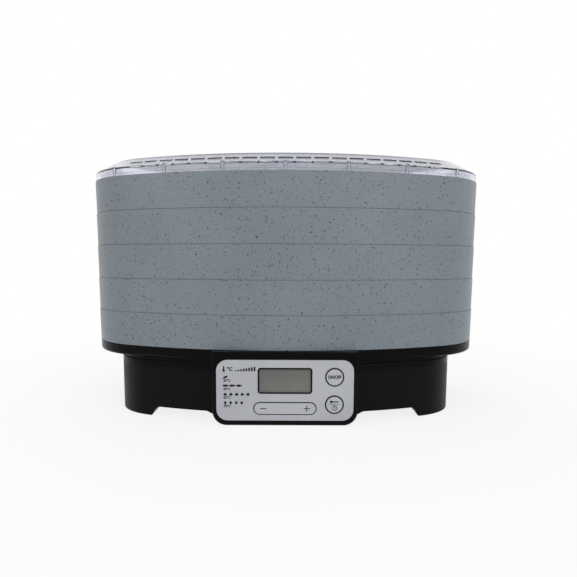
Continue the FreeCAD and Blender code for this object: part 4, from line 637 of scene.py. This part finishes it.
for side in (-1, 1):
    for group in (rocker.data.polygons, rocker.data.edges, rocker.data.vertices):
        group.foreach_set("select", [False] * len(group))
    for vertex in rocker.data.vertices:
        vertex.select = vertex.co.x * side > 0
    bpy.ops.object.mode_set(mode="EDIT")
    bpy.ops.transform.translate(value=(side * PILL_REACH * MM, 0, 0))
    bpy.ops.object.mode_set(mode="OBJECT")
bpy.ops.object.mode_set(mode="EDIT")
bpy.ops.mesh.select_all(action="SELECT")
bpy.ops.mesh.extrude_region_move(TRANSFORM_OT_translate={"value": (0, -PILL_DEEP * MM, 0)})
for inwards, forwards in PILL_CROWN:
    bpy.ops.mesh.inset(thickness=inwards * MM, depth=forwards * MM, use_boundary=True)
bpy.ops.object.mode_set(mode="OBJECT")
press_stem = draw_out(PRESS_STEM, (-PRESS_X * MM, 0, ROCKER_Z * MM), FACE_FRONT, 32)
set_out(press_stem, [(-PRESS_X * MM, 0), (PRESS_X * MM, 0)])
pivot_block = draw_out(PIVOT_BLOCK, (0, 0, ROCKER_Z * MM), FACE_FRONT, 24)
pivot_pin = draw_out(PIVOT_ENDS, (0, -PIVOT_BACK * MM, 0), FACE_UP, 24)
for part in (rocker, press_stem, pivot_block, pivot_pin):
    part.select_set(True)
bpy.context.view_layer.objects.active = rocker
bpy.ops.object.join()
settle(rocker, "adjust_rocker_moulding", silver_paint)
rocker.data.materials.append(print_ink)
for face in rocker.data.polygons:
    beyond = max(abs(face.center.x) - PILL_REACH * MM, 0)
    reach = math.hypot(beyond, face.center.z - ROCKER_Z * MM)
    on_edge = face.center.y < PRINTED_FROM and face.area < LARGEST_EDGE_FACE
    if on_edge and reach > (PILL_RADIUS - PILL_LINE) * MM:
        face.material_index = 1
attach(rocker, "adjust_rocker")
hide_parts("adjust_rocker")
SIGN_LONG, SIGN_LINE = 6.2, 0.8
rocker_print = begin_print(key_face)
for side in (-1, 1):
    bar(rocker_print, side * PRESS_X, ROCKER_Z, SIGN_LONG, SIGN_LINE)
bar(rocker_print, PRESS_X, ROCKER_Z, SIGN_LINE, SIGN_LONG)
end_print(rocker_print, "rocker_legend", "adjust_rocker")

# Trays and their grids
# Five stacking frames of grey-blue polypropylene with dark specks through the whole plastic, each with a
# slotted grid of the same plastic lying on its ledge. The specks are flakes of a darker resin of mixed size.
TRAY_BLUE, TRAY_PALE = (0.186, 0.219, 0.246), (0.202, 0.236, 0.264)
SPECK = (0.05, 0.055, 0.066)
SPECK_LAYERS = ((230.0, 0.185), (330.0, 0.19), (420.0, 0.2))
RAGGED = (1.8 * MM,) * 3
speckled, shader, place = surface("speckled_polypropylene", {"Specular IOR Level": 0.4})
warp = place.node("ShaderNodeTexNoise", {}, {"Vector": place, "Scale": 420.0, "Detail": 2.0}, "Color")
warped = place.node("ShaderNodeVectorMath", {"operation": "MULTIPLY_ADD"}, {0: warp, 1: RAGGED, 2: place})
colour = place.noise(14.0, 3.0).between(0.3, 0.7).blend(TRAY_BLUE, TRAY_PALE)
for scale, size in SPECK_LAYERS:
    settings = {"feature": "F1"}
    cell = {"Vector": warped, "Scale": scale}
    distance = place.node("ShaderNodeTexVoronoi", settings, cell, "Distance")
    chance = place.node("ShaderNodeTexVoronoi", settings, cell, "Color").part("X")
    fleck = (distance < size * (0.35 + 0.8 * chance)) * (0.35 + 0.65 * chance)
    colour = fleck.blend(colour, SPECK)
colour.into(shader, "Base Color")
(0.4 + 0.14 * (place.noise(26.0, 3.0) - 0.5)).into(shader, "Roughness")
place.noise(1500.0).bump(0.03 * MM).into(shader, "Normal")
for level in range(1, 6):
    dress(speckled, f"tray_{level}", f"tray_{level}_grid")

# Lid
# A clear moulded styrene cover with upright ribs inside its wall and a row of vents along its front and back
# edges. It only rests on the top tray. Clear plastic looks dark where it turns its edge to the eye; here that
# is painted shade, a darker colour on the sides of the ribs and on the rounded rim where the slope meets the top.
LID_CLEAR, RIB_SIDE_SHADE, RIM_SHADE = (0.87, 0.88, 0.95), (0.26, 0.25, 0.34), (0.42, 0.41, 0.5)
BOW_RADIUS, BOW_MIDDLE = 393 * MM, 248 * MM
RIB_APART = math.radians(8.95)
RIB_ROOT, RIB_TIP, RIB_DROP = 2.6 * MM, 6.8 * MM, 10.5 * MM
RIB_SIDE_FROM, RIB_SIDE_TO = 1.2 * MM, 1.9 * MM
RIM_DROP = 3.0 * MM
SLOPE_LEAN, TOP_LEAN = (0.8, 0.86), (0.985, 0.998)
lid_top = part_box("lid")[1].z
clear_styrene, shader, place = surface("clear_styrene", {"Transmission Weight": 1.0, "IOR": 1.5})
across, depth, height = (place.part(axis) for axis in "XYZ")
from_bow = depth.maths("ABSOLUTE", depth) + BOW_MIDDLE
turn = from_bow.maths("ARCTAN2", across, from_bow) / RIB_APART + 0.5
beside = turn.maths("ABSOLUTE", turn.maths("FRACT", turn) - 0.5) * (RIB_APART * BOW_RADIUS)
reach = turn.maths("SQRT", across * across + from_bow * from_bow)
on_rib = (reach > BOW_RADIUS - RIB_TIP) * (reach < BOW_RADIUS - RIB_ROOT) * (height < lid_top - RIB_DROP)
# Painted shade: the sides of the ribs are coloured darker.
rib_side_shade = on_rib * (beside > RIB_SIDE_FROM) * (beside < RIB_SIDE_TO)
upward = place.node("ShaderNodeNewGeometry", {}, {}, "Normal").part("Z")
# Painted shade: the rounded rim where the sloping shoulder meets the top is coloured darker.
rim = upward.between(*SLOPE_LEAN) * (1 - upward.between(*TOP_LEAN)) * (height > lid_top - RIM_DROP)
rim.blend(rib_side_shade.blend(LID_CLEAR, RIB_SIDE_SHADE), RIM_SHADE).into(shader, "Base Color")
(0.03 + 0.06 * place.noise(40.0, 4.0).between(0.4, 0.7)).into(shader, "Roughness")
place.noise(18.0).bump(0.4 * MM, 0.2).into(shader, "Normal")
dress(clear_styrene, "lid")

# Studio
# A plain pale floor under soft lamps, with the camera in front of the panel, a little above the middle of the
# stack. The floor turns to plain white away from the object.
scene = bpy.context.scene
scene.view_settings.view_transform = "Standard"
bpy.ops.object.select_all(action="DESELECT")
FLOOR_RADIUS, FLOOR_LEVEL = 9.0, -0.2 * MM
bpy.ops.mesh.primitive_circle_add(vertices=96, radius=FLOOR_RADIUS, fill_type="NGON", location=(0, 0, FLOOR_LEVEL))
bpy.ops.object.transform_apply(location=True, rotation=True, scale=True)
floor = bpy.context.object
floor.name = "studio_floor"
paper, shader, place = surface("pale_paper", {"Roughness": 0.9, "Specular IOR Level": 0.0})
tree = paper.node_tree
place.noise(3.0).blend((0.84, 0.84, 0.84), (0.87, 0.87, 0.87)).into(shader, "Base Color")


def seen(tree):
    """1 on rays from the camera, also by way of gloss or clear plastic, and 0 on rays that carry light."""
    light_path = tree.nodes.new("ShaderNodeLightPath")
    rays = [Flow(tree, light_path.outputs[f"Is {kind} Ray"]) for kind in ("Camera", "Glossy", "Transmission")]
    return rays[0].maths("MAXIMUM", rays[0], rays[1].maths("MAXIMUM", rays[1], rays[2]))


SHADOW_SHARE, WHITE_FROM, WHITE_AT = 0.16, 0.2, 0.75
distance = place.node("ShaderNodeVectorMath", {"operation": "LENGTH"}, {0: place}, "Value")
share = seen(tree) * (1 - SHADOW_SHARE + SHADOW_SHARE * distance.between(WHITE_FROM, WHITE_AT))
glow = share.node("ShaderNodeEmission", {}, {"Color": (1, 1, 1, 1), "Strength": 1.0})
paint = Flow(tree, shader.outputs[0])
mixed = share.node("ShaderNodeMixShader", {}, {0: share, 1: paint, 2: glow})
mixed.into(tree.nodes["Material Output"], "Surface")
floor.data.materials.append(paper)

world = bpy.data.worlds.new("studio_air")
scene.world = world
world.use_nodes = True
AMBIENT = 0.4
air = world.node_tree.nodes["Background"]
air.inputs["Color"].default_value = (1, 1, 1, 1)
(AMBIENT + (1 - AMBIENT) * seen(world.node_tree)).into(air, "Strength")

AIM = Vector((0, 0, 0.13))
FULL_WHITE = 9.86
LAMPS = (
    ("key_lamp", (0.9, -1.5, 1.1), 1.1, 0.32),
    ("fill_lamp", (-1.3, -1.2, 0.9), 1.2, 0.16),
    ("top_lamp", (0, 0.3, 1.9), 1.4, 0.33),
    ("back_lamp", (-0.7, 1.6, 1.0), 1.2, 0.24),
)
for name, stand, size, share in LAMPS:
    bpy.ops.object.light_add(type="AREA", location=stand)
    lamp = bpy.context.object
    lamp.name = name
    lamp.data.size = size
    reach = AIM - lamp.location
    lamp.data.energy = FULL_WHITE * share * reach.length_squared
    lamp.rotation_euler = reach.to_track_quat("-Z", "Y").to_euler()
    lamp.visible_transmission = False
    lamp.visible_glossy = name != "back_lamp"

CAMERA_STAND = (0.0034, -0.6659, 0.1634)
CAMERA_DIP, CAMERA_ROLL = 0.1139, -0.0035
bpy.ops.object.camera_add(location=CAMERA_STAND, rotation=(math.pi / 2 - CAMERA_DIP, CAMERA_ROLL, 0))
camera = bpy.context.object
camera.data.sensor_width = 36
camera.data.lens = 33.63
camera.data.shift_x = -0.0007
camera.data.shift_y = 0.0566
scene.camera = camera
